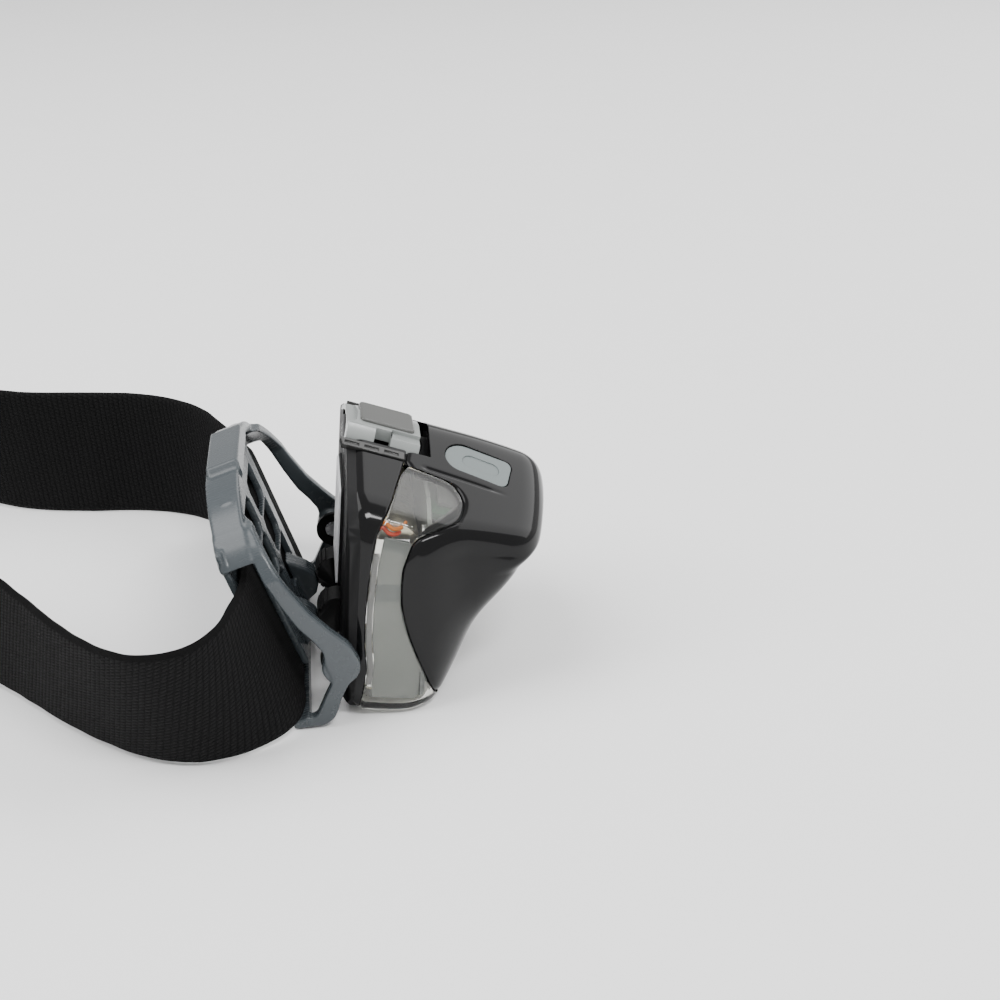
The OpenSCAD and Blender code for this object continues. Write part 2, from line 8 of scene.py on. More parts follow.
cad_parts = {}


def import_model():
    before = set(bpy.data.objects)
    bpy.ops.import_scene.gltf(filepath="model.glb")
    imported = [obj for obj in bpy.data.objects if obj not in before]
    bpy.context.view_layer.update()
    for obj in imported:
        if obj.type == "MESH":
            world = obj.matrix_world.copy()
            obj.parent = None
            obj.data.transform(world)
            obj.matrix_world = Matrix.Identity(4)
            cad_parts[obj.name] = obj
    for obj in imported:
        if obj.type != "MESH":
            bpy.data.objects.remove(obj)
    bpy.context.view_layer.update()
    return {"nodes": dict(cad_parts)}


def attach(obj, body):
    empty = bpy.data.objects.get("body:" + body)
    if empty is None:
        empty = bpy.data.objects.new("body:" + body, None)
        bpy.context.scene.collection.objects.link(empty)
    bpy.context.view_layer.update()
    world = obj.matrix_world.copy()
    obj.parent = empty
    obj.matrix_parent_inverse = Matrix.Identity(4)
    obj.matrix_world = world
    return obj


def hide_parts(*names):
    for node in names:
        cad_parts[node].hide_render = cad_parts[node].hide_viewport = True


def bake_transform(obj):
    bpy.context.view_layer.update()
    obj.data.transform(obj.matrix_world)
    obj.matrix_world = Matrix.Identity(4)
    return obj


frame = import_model()
nodes = frame["nodes"]

MM = 0.001
SHIFT = np.array([69.9, -23.6, 0.0])
PIVOT = np.array([0.0, 0.0, 10.8])


def ry(deg):
    c, s = math.cos(math.radians(deg)), math.sin(math.radians(deg))
    return np.array([[c, 0, s], [0, 1, 0], [-s, 0, c]])


LAMP, BRK = ry(4.4), ry(-19.8)


def lamp(p):
    """Lamp frame, mm, to the row frame, m."""
    return (np.asarray(p, float).reshape(-1, 3) @ LAMP.T + PIVOT + SHIFT) * MM


def brk(p):
    """Bracket frame (n, y, s), mm, to the row frame, m."""
    p = np.asarray(p, float).reshape(-1, 3)
    q = np.stack([p[:, 0] - 7, p[:, 1], 21.4 + p[:, 2]], 1)
    return (q @ BRK.T + PIVOT + SHIFT) * MM


def world(p):
    return (np.asarray(p, float).reshape(-1, 3) + SHIFT) * MM


# ---------------------------------------------------------------- camera
cam_data = bpy.data.cameras.new("camera")
cam = bpy.data.objects.new("camera", cam_data)
bpy.context.scene.collection.objects.link(cam)
bpy.context.scene.camera = cam
cam_data.lens = 57.6
cam_data.sensor_width = 36.0
cam_data.clip_start = 0.01
cam_data.clip_end = 20.0
cam.location = Vector(((-0.8 + SHIFT[0]) * MM, (-255.7 + SHIFT[1]) * MM, 141.0 * MM))
cam.rotation_mode = "QUATERNION"
cam.rotation_quaternion = Vector((0.1066, 0.9073, -0.4067)).to_track_quat("-Z", "Y")


# ---------------------------------------------------------------- node helpers
class Nodes:
    """A short way to write a procedural material."""

    def __init__(self, name):
        self.mat = bpy.data.materials.new(name)
        self.mat.use_nodes = True
        self.t = self.mat.node_tree
        self.b = self.t.nodes["Principled BSDF"]
        self.out = self.t.nodes["Material Output"]

    def new(self, kind, **kw):
        n = self.t.nodes.new(kind)
        for k, v in kw.items():
            if hasattr(n, k):
                setattr(n, k, v)
            else:
                n.inputs[k.replace("_", " ")].default_value = v
        return n

    def link(self, a, b):
        self.t.links.new(a, b)

    def set(self, **kw):
        for k, v in kw.items():
            s = self.b.inputs[k.replace("_", " ")]
            if hasattr(v, "links"):
                self.link(v, s)
            else:
                s.default_value = v

    def coords(self, kind="Object"):
        return self.new("ShaderNodeTexCoord").outputs[kind]

    def mapping(self, vec, scale=(1, 1, 1), rot=(0, 0, 0), loc=(0, 0, 0)):
        m = self.new("ShaderNodeMapping")
        self.link(vec, m.inputs["Vector"])
        m.inputs["Scale"].default_value = scale
        m.inputs["Rotation"].default_value = rot
        m.inputs["Location"].default_value = loc
        return m.outputs[0]

    def noise(self, vec, scale, detail=4, rough=0.55, distortion=0.0):
        n = self.new("ShaderNodeTexNoise")
        self.link(vec, n.inputs["Vector"])
        n.inputs["Scale"].default_value = scale
        n.inputs["Detail"].default_value = detail
        n.inputs["Roughness"].default_value = rough
        n.inputs["Distortion"].default_value = distortion
        return n.outputs["Fac"]

    def ramp(self, fac, stops):
        n = self.new("ShaderNodeValToRGB")
        self.link(fac, n.inputs[0])
        r = n.color_ramp
        while len(r.elements) > 1:
            r.elements.remove(r.elements[0])
        r.elements[0].position = stops[0][0]
        r.elements[0].color = stops[0][1] if hasattr(stops[0][1], "__len__") else (stops[0][1],) * 3 + (1,)
        for p, c in stops[1:]:
            e = r.elements.new(p)
            e.color = c if hasattr(c, "__len__") else (c, c, c, 1)
        return n.outputs[0]

    def math(self, op, a, b=0.0, c=0.0, clamp=False):
        n = self.new("ShaderNodeMath")
        n.operation = op
        n.use_clamp = clamp
        for i, v in enumerate((a, b, c)):
            if hasattr(v, "links"):
                self.link(v, n.inputs[i])
            else:
                n.inputs[i].default_value = v
        return n.outputs[0]

    def mix(self, fac, a, b):
        n = self.new("ShaderNodeMix")
        n.data_type = "RGBA"
        for s, v in ((n.inputs[0], fac), (n.inputs[6], a), (n.inputs[7], b)):
            if hasattr(v, "links"):
                self.link(v, s)
            else:
                s.default_value = v
        return n.outputs[2]

    def maprange(self, v, a, b, c, d):
        n = self.new("ShaderNodeMapRange")
        self.link(v, n.inputs[0])
        for i, x in enumerate((a, b, c, d)):
            n.inputs[i + 1].default_value = x
        return n.outputs[0]

    def bump(self, height, strength=0.2, distance=0.0001, normal=None):
        n = self.new("ShaderNodeBump")
        self.link(height, n.inputs["Height"])
        n.inputs["Strength"].default_value = strength
        n.inputs["Distance"].default_value = distance
        if normal is not None:
            self.link(normal, n.inputs["Normal"])
        return n.outputs[0]

    def edge(self, radius, samples=4):
        n = self.new("ShaderNodeBevel", samples=samples)
        n.inputs["Radius"].default_value = radius
        return n.outputs[0]


def rgb(r, g, b):
    return (r, g, b, 1.0)


def plastic(name, col, rough=0.22, vary=0.06, spec=0.5, grain=900.0, grain_h=0.00002, edge=0.0002, coat=0.0):
    """Moulded plastic: slight mottling, faint handling marks in the gloss, softened edges."""
    m = Nodes(name)
    c = m.coords()
    big = m.noise(c, 60, 3)
    fine = m.noise(c, grain, 3)
    scuff = m.noise(m.mapping(c, (1, 6, 1), (0.4, 0.2, 0.7)), 400, 5, 0.7)
    lo = rgb(*[max(x * (1 - vary) - 0.0005, 0) for x in col])
    hi = rgb(*[x * (1 + vary) + 0.0005 for x in col])
    m.set(Base_Color=m.mix(big, lo, hi))
    r = m.math("ADD", rough, m.math("MULTIPLY", m.math("SUBTRACT", scuff, 0.45), rough * 0.5))
    m.set(Roughness=m.math("MAXIMUM", r, 0.03), Specular_IOR_Level=spec, Coat_Weight=coat, Coat_Roughness=0.05)
    m.set(Normal=m.bump(fine, 0.15, grain_h, m.edge(edge)))
    return m.mat


def metal(name, col, rough=0.25, brushed=True):
    m = Nodes(name)
    c = m.coords()
    streak = m.noise(m.mapping(c, (1, 60, 1) if brushed else (1, 1, 1)), 300, 4)
    m.set(Base_Color=m.mix(streak, rgb(*[x * 0.85 for x in col]), rgb(*col)), Metallic=1.0)
    m.set(Roughness=m.math("ADD", rough, m.math("MULTIPLY", m.math("SUBTRACT", streak, 0.5), rough)))
    m.set(Normal=m.bump(streak, 0.1, 0.00001, m.edge(0.0001)))
    return m.mat


def webbing_material():
    """Elastic knit: lengthwise ribs of small stitches, a rolled selvedge, and lint caught in it."""
    m = Nodes("elastic_webbing")
    uv = m.new("ShaderNodeUVMap", uv_map="UVMap").outputs[0]     # metres along, metres across
    sep = m.new("ShaderNodeSeparateXYZ")
    m.link(uv, sep.inputs[0])
    u, v = sep.outputs[0], sep.outputs[1]
    wob = m.noise(m.mapping(uv, (1, 1, 1)), 700, 2)
    wobble = m.math("MULTIPLY", m.math("SUBTRACT", wob, 0.5), 0.00022)
    # ribs across the band, a slanted row of stitches in each
    pitch_u, pitch_v = 0.00105, 0.00078
    uu = m.math("ADD", u, m.math("ADD", wobble, m.math("MULTIPLY", v, 0.16)))
    row = m.math("FRACT", m.math("DIVIDE", uu, pitch_u))
    row_h = m.math("SINE", m.math("MULTIPLY", row, math.pi))
    idx = m.math("FLOOR", m.math("DIVIDE", uu, pitch_u))
    vv = m.math("ADD", m.math("DIVIDE", m.math("ADD", v, wobble), pitch_v), m.math("MULTIPLY", idx, 0.5))
    st = m.math("ABSOLUTE", m.math("SINE", m.math("MULTIPLY", m.math("ADD", vv, m.math("MULTIPLY", row, 0.45)), math.pi)))
    h = m.math("MULTIPLY", m.math("POWER", row_h, 0.7), m.math("POWER", st, 0.5))
    fuzz = m.noise(m.mapping(uv, (1, 1, 1)), 5200, 4, 0.7)
    height = m.math("ADD", h, m.math("MULTIPLY", fuzz, 0.35))
    speck = m.noise(m.mapping(uv, (1, 1, 1)), 2600, 6, 0.75)
    lint = m.ramp(speck, [(0.0, 0.0), (0.655, 0.0), (0.70, 1.0)])
    cloud = m.noise(uv, 55, 3)
    # colour follows the knit's height: painted shade in the grooves between stitches, with the fine fuzz adding random
    # tone
    base = m.mix(height, rgb(0.0008, 0.0008, 0.0009), rgb(0.0075, 0.0073, 0.0073))
    base = m.mix(m.math("MULTIPLY", cloud, 0.5), base, rgb(0.0035, 0.0035, 0.0038))
    base = m.mix(m.math("MULTIPLY", lint, 0.32), base, rgb(0.085, 0.08, 0.075))
    m.set(Base_Color=base, Roughness=0.9, Specular_IOR_Level=0.1)
    m.set(Sheen_Weight=0.015, Sheen_Roughness=0.6, Sheen_Tint=rgb(0.5, 0.5, 0.52))
    m.set(Normal=m.bump(height, 0.9, 0.00032))
    return m.mat


def clear_material(name, tint=(0.96, 0.965, 0.93), rough=0.02, ior=1.46):
    m = Nodes(name)
    c = m.coords()
    haze = m.noise(m.mapping(c, (1, 1, 0.4)), 260, 4)
    m.set(Base_Color=m.mix(haze, rgb(*[x * 0.97 for x in tint]), rgb(*tint)), Transmission_Weight=1.0, IOR=ior)
    m.set(Roughness=m.math("ADD", rough, m.math("MULTIPLY", haze, 0.03)))
    m.set(Normal=m.bump(m.noise(c, 120, 2), 0.12, 0.00008))
    return m.mat


MAT = {
    "webbing": webbing_material(),
    "bracket": plastic("bracket_plastic", (0.046, 0.055, 0.061), 0.26, 0.07, 0.5, 700, 0.00001, 0.00025),
    "black": plastic("black_gloss", (0.0032, 0.0032, 0.0035), 0.085, 0.1, 0.24, 500, 0.000006, 0.0002),
    # the ledge rail's grey, ten times the black shell's, is painted highlight for the bright reflection along the strip
    "rail": plastic("ledge_painted_highlight_grey", (0.032, 0.032, 0.031), 0.14, 0.35, 0.5, 1100, 0.00012, 0.00015),
    "fitting": plastic("black_fitting", (0.0065, 0.0065, 0.007), 0.33, 0.1, 0.45, 900, 0.00003, 0.0002),
    "clear": clear_material("clear_plastic", (0.965, 0.965, 0.915)),
    "frost": plastic("frosted_frame", (0.17, 0.185, 0.18), 0.42, 0.08, 0.5, 1200, 0.00003, 0.0002),
    "latch": plastic("latch_plastic", (0.25, 0.265, 0.258), 0.2, 0.08, 0.5, 1400, 0.00002, 0.00016),
    "pad": plastic("latch_pad", (0.075, 0.076, 0.072), 0.24, 0.1, 0.5, 900, 0.00002, 0.0002),
    "button": plastic("button_plastic", (0.13, 0.155, 0.155), 0.22, 0.06, 0.5, 1400, 0.00002, 0.0002),
    "rubber": plastic("soft_rubber", (0.25, 0.25, 0.25), 0.6, 0.08, 0.3, 1500, 0.00004, 0.0002),
    "membrane": plastic("membrane_rubber", (0.12, 0.125, 0.125), 0.55, 0.08, 0.3, 1500, 0.00004, 0.0002),
    "bezel": plastic("bezel_plastic", (0.03, 0.032, 0.034), 0.35, 0.08, 0.5, 900, 0.00003, 0.0002),
    "label": plastic("label_film", (0.78, 0.78, 0.80), 0.4, 0.05, 0.4, 1400, 0.00002, 0.0001),
    "steel": metal("pin_steel", (0.62, 0.63, 0.65), 0.28),
    "chrome": metal("contact_metal", (0.8, 0.8, 0.82), 0.14, False),
    "mirror": metal("reflector_metal", (0.92, 0.92, 0.93), 0.05, False),
    "sink": metal("sink_metal", (0.72, 0.73, 0.75), 0.32),
    "cell": metal("cell_can", (0.62, 0.58, 0.48), 0.3),
    "emitter": plastic("emitter", (0.85, 0.72, 0.22), 0.18, 0.05, 0.5, 1400, 0.00002, 0.0001),
    "led": clear_material("small_led", (0.97, 0.97, 0.95), 0.05),
    "board_white": plastic("board_white", (0.7, 0.7, 0.68), 0.35, 0.04, 0.5, 1400, 0.00002, 0.0001),
    "board": plastic("board_green", (0.02, 0.13, 0.05), 0.3, 0.15, 0.5, 600, 0.00003, 0.0001),
    "switch": plastic("switch_black", (0.02, 0.02, 0.02), 0.4, 0.1, 0.5, 900, 0.00003, 0.0001),
    "wire_red": plastic("wire_red", (0.55, 0.05, 0.015), 0.35, 0.08, 0.5, 900, 0.00002, 0.0001),
    "wire_orange": plastic("wire_orange", (0.75, 0.22, 0.03), 0.35, 0.08, 0.5, 900, 0.00002, 0.0001),
}


# ---------------------------------------------------------------- mesh helpers
def make(name, verts, faces, mat, uv=None, smooth=True, merge=0.0, recalc=True):
    me = bpy.data.meshes.new(name)
    me.from_pydata(np.asarray(verts, float).tolist(), [], [tuple(int(i) for i in f) for f in faces])
    if uv is not None:
        layer = me.uv_layers.new(name="UVMap")
        idx = np.empty(len(me.loops), dtype=np.int64)
        me.loops.foreach_get("vertex_index", idx)
        layer.data.foreach_set("uv", np.asarray(uv, float)[idx].ravel())
    if merge or recalc:
        bm = bmesh.new()
        bm.from_mesh(me)
        if merge:
            bmesh.ops.remove_doubles(bm, verts=bm.verts, dist=merge)
        if recalc:
            bmesh.ops.recalc_face_normals(bm, faces=bm.faces)
        bm.to_mesh(me)
        bm.free()
    me.polygons.foreach_set("use_smooth", [smooth] * len(me.polygons))
    me.update()
    ob = bpy.data.objects.new(name, me)
    bpy.context.scene.collection.objects.link(ob)
    me.materials.append(mat)
    return ob


def bake(ob):
    """Replaces the mesh by its evaluated form and drops the modifiers."""
    dg = bpy.context.evaluated_depsgraph_get()
    dg.update()
    me = bpy.data.meshes.new_from_object(ob.evaluated_get(dg))
    old = ob.data
    ob.modifiers.clear()
    ob.data = me
    bpy.data.meshes.remove(old)
    return ob


def cut(ob, cutter, op="DIFFERENCE"):
    before = ob.data.copy()
    for own in (False, True):
        m = ob.modifiers.new("cut", "BOOLEAN")
        m.operation = op
        m.solver = "EXACT"
        m.use_self = own
        m.object = cutter
        bake(ob)
        if len(ob.data.polygons):
            break
        ob.data = before.copy()
    bpy.data.objects.remove(cutter)
    return ob


def soften(ob, width, segments=2, angle=28.0, planar=True):
    """Rounds a CAD node's edges without touching its own vertices."""
    if planar:
        d = ob.modifiers.new("planar", "DECIMATE")
        d.decimate_type = "DISSOLVE"
        d.angle_limit = math.radians(1.5)
    b = ob.modifiers.new("bevel", "BEVEL")
    b.width = width
    b.segments = segments
    b.limit_method = "ANGLE"
    b.angle_limit = math.radians(angle)
    b.use_clamp_overlap = True
    b.harden_normals = False
    for p in ob.data.polygons:
        p.use_smooth = True
    w = ob.modifiers.new("normals", "WEIGHTED_NORMAL")
    w.keep_sharp = False
    w.weight = 80
    return ob


def prism(name, pts, z0, z1, to_world):
    """A closed prism over the outline pts, from z0 to z1 in its own frame."""
    n = len(pts)
    v = [(x, y, z0) for x, y in pts] + [(x, y, z1) for x, y in pts]
    f = [tuple(range(n - 1, -1, -1)), tuple(range(n, 2 * n))]
    f += [(i, (i + 1) % n, n + (i + 1) % n, n + i) for i in range(n)]
    return make(name, to_world(v), f, MAT["black"], smooth=False)


# ---------------------------------------------------------------- lamp form
def smax(a, b, k):
    h = np.clip(0.5 + 0.5 * (a - b) / k, 0, 1)
    return b * (1 - h) + a * h + k * h * (1 - h)


def sstep(x, a, b):
    t = np.clip((x - a) / (b - a), 0, 1)
    return t * t * (3 - 2 * t)


def form(p, cheek=True, rear_open=False):
    """Smooth outer skin of the lamp: negative inside, about a distance in mm near the skin."""
    x, y, z = p[..., 0], np.abs(p[..., 1]), p[..., 2]
    roof = (z - (35.45 - 0.25 * x - 0.0045 * np.maximum(x - 20, 0) ** 2 - 0.40 * (np.sqrt(y * y + 2.6) - 0.7))) / 1.105
    side = y - (26.45 - 0.052 * z)
    taper = y - (26.95 - 0.0064 * np.maximum(x - 9, 0) ** 2)
    if cheek:
        # the cheeks under the brim draw in towards the window
        edge = 22.6 - 0.012 * (x - 22) ** 2
        depth = 2.7 * sstep(edge - z, -0.6, 5.5) * sstep(x - (13.0 - 0.10 * (z - 8)), 0, 9.0)
        side = side + depth
        taper = taper + depth
    side = smax(side, taper, 3.0) - 0.45 * sstep(-3.0 - z, 0, 5.0)
    w = np.clip(0.5 + (side - roof) / 8, 0, 1)
    f = smax(roof, side, 5.5)
    front = (x - (35.25 - 0.0074 * y * y)) / (1 + 0.0001 * y * y)
    f = smax(f, front, 4.5)
    dip = 1.75 * np.exp(-((z - 4.8) / 7.0) ** 2) * sstep(y, 10.0, 18.0)
    win = 0.838 * (x - 33.5) - 0.546 * (z - 16.8) + dip
    f = smax(f, win, 1.8 + 5.2 * sstep(17.5 - z, 0, 4.0) * sstep(y, 8, 16))
    bottom = (-9.25 - 0.055 * np.minimum(x, 12) + 0.075 * np.maximum(x - 12, 0)) - z
    f = smax(f, bottom, 1.7)
    # a fine crease runs forwards from the latch's ledge, under the button
    crease = y - (9.55 + 0.085 * x)
    f = f + 0.20 * np.exp(-(crease / 0.34) ** 2) * sstep(x, 12.3, 14.0) * sstep(28.0 - x, 0, 5.0) * (z > 20)
    if rear_open:
        return f
    rear = 0.2 - x
    low = -0.674 * (x - 0.2) - 0.739 * (z + 7.2)
    f = smax(f, rear, 3.4 + 1.0 * w)
    return smax(f, low, 1.5)


def march(c, d, o=0.0, far=70.0, rear_open=False):
    """Distance along unit rays d from points c to the skin, drawn in by o."""
    lo = np.zeros(d.shape[:-1])
    hi = np.full(d.shape[:-1], far)
    for _ in range(44):
        mid = (lo + hi) / 2
        inside = form(c + d * mid[..., None], True, rear_open) + o < 0
        lo = np.where(inside, mid, lo)
        hi = np.where(inside, hi, mid)
    return (lo + hi) / 2


def normal(p):
    e = 0.02
    g = np.stack([form(p + np.eye(3)[i] * e) - form(p - np.eye(3)[i] * e) for i in range(3)], -1)
    return g / np.linalg.norm(g, axis=-1, keepdims=True)


def at_xz(x, z):
    """The skin's point on the +y side with this side view place."""
    c = np.array([x, 0.0, z])
    return c + np.array([0, 1.0, 0]) * march(c[None], np.array([[0, 1.0, 0]]))[0]


def at_xy(x, y, up=True, z0=4.0):
    c = np.array([x, y, z0])
    d = np.array([[0, 0, 1.0 if up else -1.0]])
    return c + d[0] * march(c[None], d)[0]


def resample(p, n, keys=None):
    """n points evenly along a polyline; with keys, (place, share) pairs hold chosen vertices at chosen shares."""
    p = np.asarray(p, float)
    s = np.concatenate([[0], np.cumsum(np.linalg.norm(np.diff(p, axis=0), axis=1))])
    a = np.linspace(0, 1, n)
    if keys is None:
        q = a * s[-1]
    else:
        q = np.interp(a, [k[1] for k in keys], [s[k[0]] for k in keys])
    return np.stack([np.interp(q, s, p[:, i]) for i in range(p.shape[1])], 1)


def densify(pts, step=0.35):
    out = [np.asarray(pts[0], float)]
    for a, b in zip(pts[:-1], pts[1:]):
        a, b = np.asarray(a, float), np.asarray(b, float)
        n = max(1, int(np.linalg.norm(b - a) / step))
        out += [a + (b - a) * (i + 1) / n for i in range(n)]
    return out


def curve_through(pts, n_each=6):
    """Catmull-Rom through side-view points."""
    p = [np.asarray(q, float) for q in pts]
    p = [2 * p[0] - p[1]] + p + [2 * p[-1] - p[-2]]
    out = []
    for i in range(1, len(p) - 2):
        for k in range(n_each):
            t = k / n_each
            a, b, c, d = p[i - 1], p[i], p[i + 1], p[i + 2]
            out.append(0.5 * (2 * b + (c - a) * t + (2 * a - 5 * b + 4 * c - d) * t * t + (3 * b - a - 3 * c + d) * t ** 3))
    out.append(p[-2])
    return out


def shell_grid(A, B, C, nt, thick, lip_a=(0.3, 0.3), lip_b=(0.3, 0.3), t_of=None, closed_ends=False):
    """A patch of the skin from border A to border B, as outer and inner grids of one half, its own thickness apart.
    lip = (reach, depth): the skin rolls in by depth over that reach at the border."""
    A, B, C = np.asarray(A, float), np.asarray(B, float), np.asarray(C, float)
    t = np.linspace(0, 1, nt) if t_of is None else t_of(np.linspace(0, 1, nt))
    va, vb = A - C, B - C
    d = va[:, None] * (1 - t)[None, :, None] + vb[:, None] * t[None, :, None]
    d /= np.linalg.norm(d, axis=-1, keepdims=True)
    P = C + d * march(C, d)[..., None]
    N = normal(P)
    step = np.linalg.norm(np.diff(P, axis=1), axis=-1)
    s = np.concatenate([np.zeros((len(A), 1)), np.cumsum(step, axis=1)], axis=1)
    drop = np.zeros(s.shape)
    for dist, (reach, depth) in ((s, lip_a), (s[:, -1:] - s, lip_b)):
        q = np.clip(1 - dist / reach, 0, 1)
        drop = np.maximum(drop, depth * (1 - np.sqrt(np.maximum(1 - q * q, 0))))
    outer = P - N * drop[..., None]
    inner = P - N * (thick + 0 * drop)[..., None]
    return outer, inner


def shell_mesh(name, outer, inner, mat, ring=True):
    """Outer and inner grids of one half and its mirror image, sharing the rows that lie on the middle plane."""
    n, m = outer.shape[:2]
    verts = list(outer.reshape(-1, 3)) + list(inner.reshape(-1, 3))
    shared = {0, n - 1} if ring else {n - 1}
    for r in shared:
        for j in range(m):
            verts[r * m + j] = verts[r * m + j] * np.array([1, 0, 1.0])
            verts[(n + r) * m + j] = verts[(n + r) * m + j] * np.array([1, 0, 1.0])
    number = {}
    for layer in (0, 1):
        for r in range(n):
            for j in range(m):
                k = (layer * n + r) * m + j
                if r in shared:
                    number[k] = k
                else:
                    number[k] = len(verts)
                    verts.append(verts[k] * np.array([1, -1, 1.0]))
    faces = []

    def add(q, flip):
        faces.append(tuple(q[::-1]) if flip else tuple(q))

    for half in (0, 1):
        at = (lambda k: k) if half == 0 else (lambda k: number[k])
        fl = half == 1
        for r in range(n - 1):
            for j in range(m - 1):
                q = [r * m + j, r * m + j + 1, (r + 1) * m + j + 1, (r + 1) * m + j]
                add([at(k) for k in q], fl)
                add([at(k + n * m) for k in q[::-1]], fl)
            for j, back in ((0, True), (m - 1, False)):
                q = [r * m + j, (r + 1) * m + j, (n + r + 1) * m + j, (n + r) * m + j]
                add([at(k) for k in q], back == fl)
        if not ring:
            for j in range(m - 1):
                q = [j, j + 1, n * m + j + 1, n * m + j]
                add([at(k) for k in q], not fl)
    ob = make(name, lamp(verts), faces, mat, recalc=False)
    bm = bmesh.new()
    bm.from_mesh(ob.data)
    if bm.calc_volume(signed=True) < 0:
        bmesh.ops.reverse_faces(bm, faces=bm.faces)
        bm.to_mesh(ob.data)
    bm.free()
    return ob


SEAM = [(3.6, -7.4), (4.1, -4.7), (4.3, -1.6), (3.8, 2.8), (3.8, 8.4), (4.2, 16), (5.0, 21.6), (6.8, 25), (9.5, 28.5)]
HOOD = [(17.0, -8.3), (16.4, -7.4), (14.2, -3.4), (12.3, 0.6), (10.7, 4.6), (9.4, 9.6), (9.3, 15.4), (10.3, 19.2),
        (11.2, 20.8), (12.8, 21.7), (15.2, 22.3), (18.2, 22.9), (19.4, 23.9), (19.2, 25.0), (17.4, 26.3), (13.8, 27.5), (10.0, 28.7)]


def roof_line(pts):
    return [at_xy(x, y) for x, y in densify(pts, 0.6)]


def side_line(pts):
    return [at_xz(x, z) for x, z in pts]


def floor_line(pts):
    return [at_xy(x, y, False) for x, y in densify(pts, 0.8)]


def key_index(line, point):
    d = np.linalg.norm(np.asarray(line)[:, [0, 2]] - np.asarray(point), axis=1)
    return int(np.argmin(d))


GAP = 0.09
seam_side = curve_through(SEAM[::-1])                      # top to bottom
hood_side = curve_through(HOOD[::-1])
rear_a = roof_line([(11.15, 0), (10.95, 4.3), (10.3, 8.2), (9.75, 10.6)]) + side_line([(x - GAP, z) for x, z in seam_side][1:]) \
    + floor_line([(3.5, 22.6), (3.5, 0)])
rear_b = roof_line([(2.2, 0), (2.2, 10), (2.4, 17), (2.6, 20)]) + side_line([(2.6, 24.0), (2.5, 20), (2.4, 12), (2.4, 4), (2.4, -3.5)]) \
    + floor_line([(2.2, 21.5), (2.2, 0)])

NA = 300


def closed_half(line):
    line = [np.array(q, float) for q in line]
    line[0][1] = 0.0
    line[-1][1] = 0.0
    return line


# rear shell: a ring of skin from the seam back over the corner to the middle of the rear face
rear_a = resample(closed_half(rear_a), NA)
back = np.array([[0.2, 0, 26.0], [0.2, 14, 24.0], [0.2, 18.0, 18.0], [0.2, 18.5, 6.0], [0.2, 17.0, -2.5], [0.2, 0, -3.5]])
back = resample(back, NA)
CR = np.array([9.0, 0.0, 11.0])


def ring_to(CB, A, B, nt, thick, lip_a, lip_b, t_of=None):
    return shell_grid(A, B, CB, nt, thick, lip_a, lip_b, t_of)


# ring shares are matched by bearing, so rows run square to the seam
def bearing(p, c):
    q = np.asarray(p) - c
    return np.unwrap(np.arctan2(q[:, 1], q[:, 2]))


def match(line, ref, c):
    b_ref = bearing(ref, c)
    b_line = bearing(line, c)
    order = np.argsort(b_line)
    return np.stack([np.interp(b_ref, b_line[order], np.asarray(line)[order, i]) for i in range(3)], 1)


dense_back = resample(back, 900)
rear_b = match(dense_back, rear_a, CR)
rear_b[0, 1] = rear_b[-1, 1] = 0.0
o, i_ = shell_grid(rear_a, rear_b, CR, 110, 0.6, (0.35, 0.3), (0.01, 0.0), lambda t: t)
rear_ob = shell_mesh("rear_shell_skin", o, i_, MAT["black"])
# flat middle of the rear face
half_o = o[:, -1]
cen = np.array([0.2, 0.0, 11.0])
pts_o, pts_i, fan = [], [], []
m_out = np.concatenate([half_o, (half_o * np.array([1, -1, 1]))[-2:0:-1]])
nn = len(m_out)
rings = [1.0, 0.75, 0.5, 0.25]
v = []
for r in rings:
    v += list(cen + (m_out - cen) * r)
v.append(cen)
f = []
for k in range(len(rings) - 1):
    for j in range(nn):
        a, b = k * nn + j, k * nn + (j + 1) % nn
        f.append((a, b, b + nn, a + nn))
for j in range(nn):
    f.append(((len(rings) - 1) * nn + j, (len(rings) - 1) * nn + (j + 1) % nn, len(v) - 1))
v2 = np.array(v)
thick_off = np.array([1.3, 0, 0])
allv = np.concatenate([v2, v2 + thick_off])
allf = f + [tuple(i + len(v2) for i in q[::-1]) for q in f] + [(j, (j + 1) % nn, (j + 1) % nn + len(v2), j + len(v2)) for j in range(nn)]
rear_face = make("rear_shell_back", lamp(allv), allf, MAT["black"], merge=2e-6)

# hood: from its rear border round over the brim to the window's opening
hood_a = roof_line([(11.35, 0), (11.15, 4.3), (10.5, 8.2), (10.1, 10.2)]) + side_line([(x + GAP, z) for x, z in hood_side][1:]) \
    + floor_line([(17.1, 22.0), (17.1, 0)])
hood_a = closed_half(hood_a)


def bez(a, b, c, n):
    a, b, c = map(np.asarray, (a, b, c))
    return [tuple(a * (1 - t) ** 2 + b * 2 * t * (1 - t) + c * t * t) for t in np.linspace(0, 1, n)]


win_half = [(0, 2.8)] + bez((11, 2.8), (14.8, 2.8), (15.2, 7), 9) + bez((16.9, 17.5), (18.6, 26.8), (13.5, 26.8), 11) + [(0, 26.8)]


def window(y, v_, back_=0.0):
    """A point in the window plane: y across, v_ down it from its top edge, back_ behind it."""
    return np.array([33.5 - 0.546 * v_ - 0.838 * back_, y, 16.5 - 0.838 * v_ + 0.546 * back_])


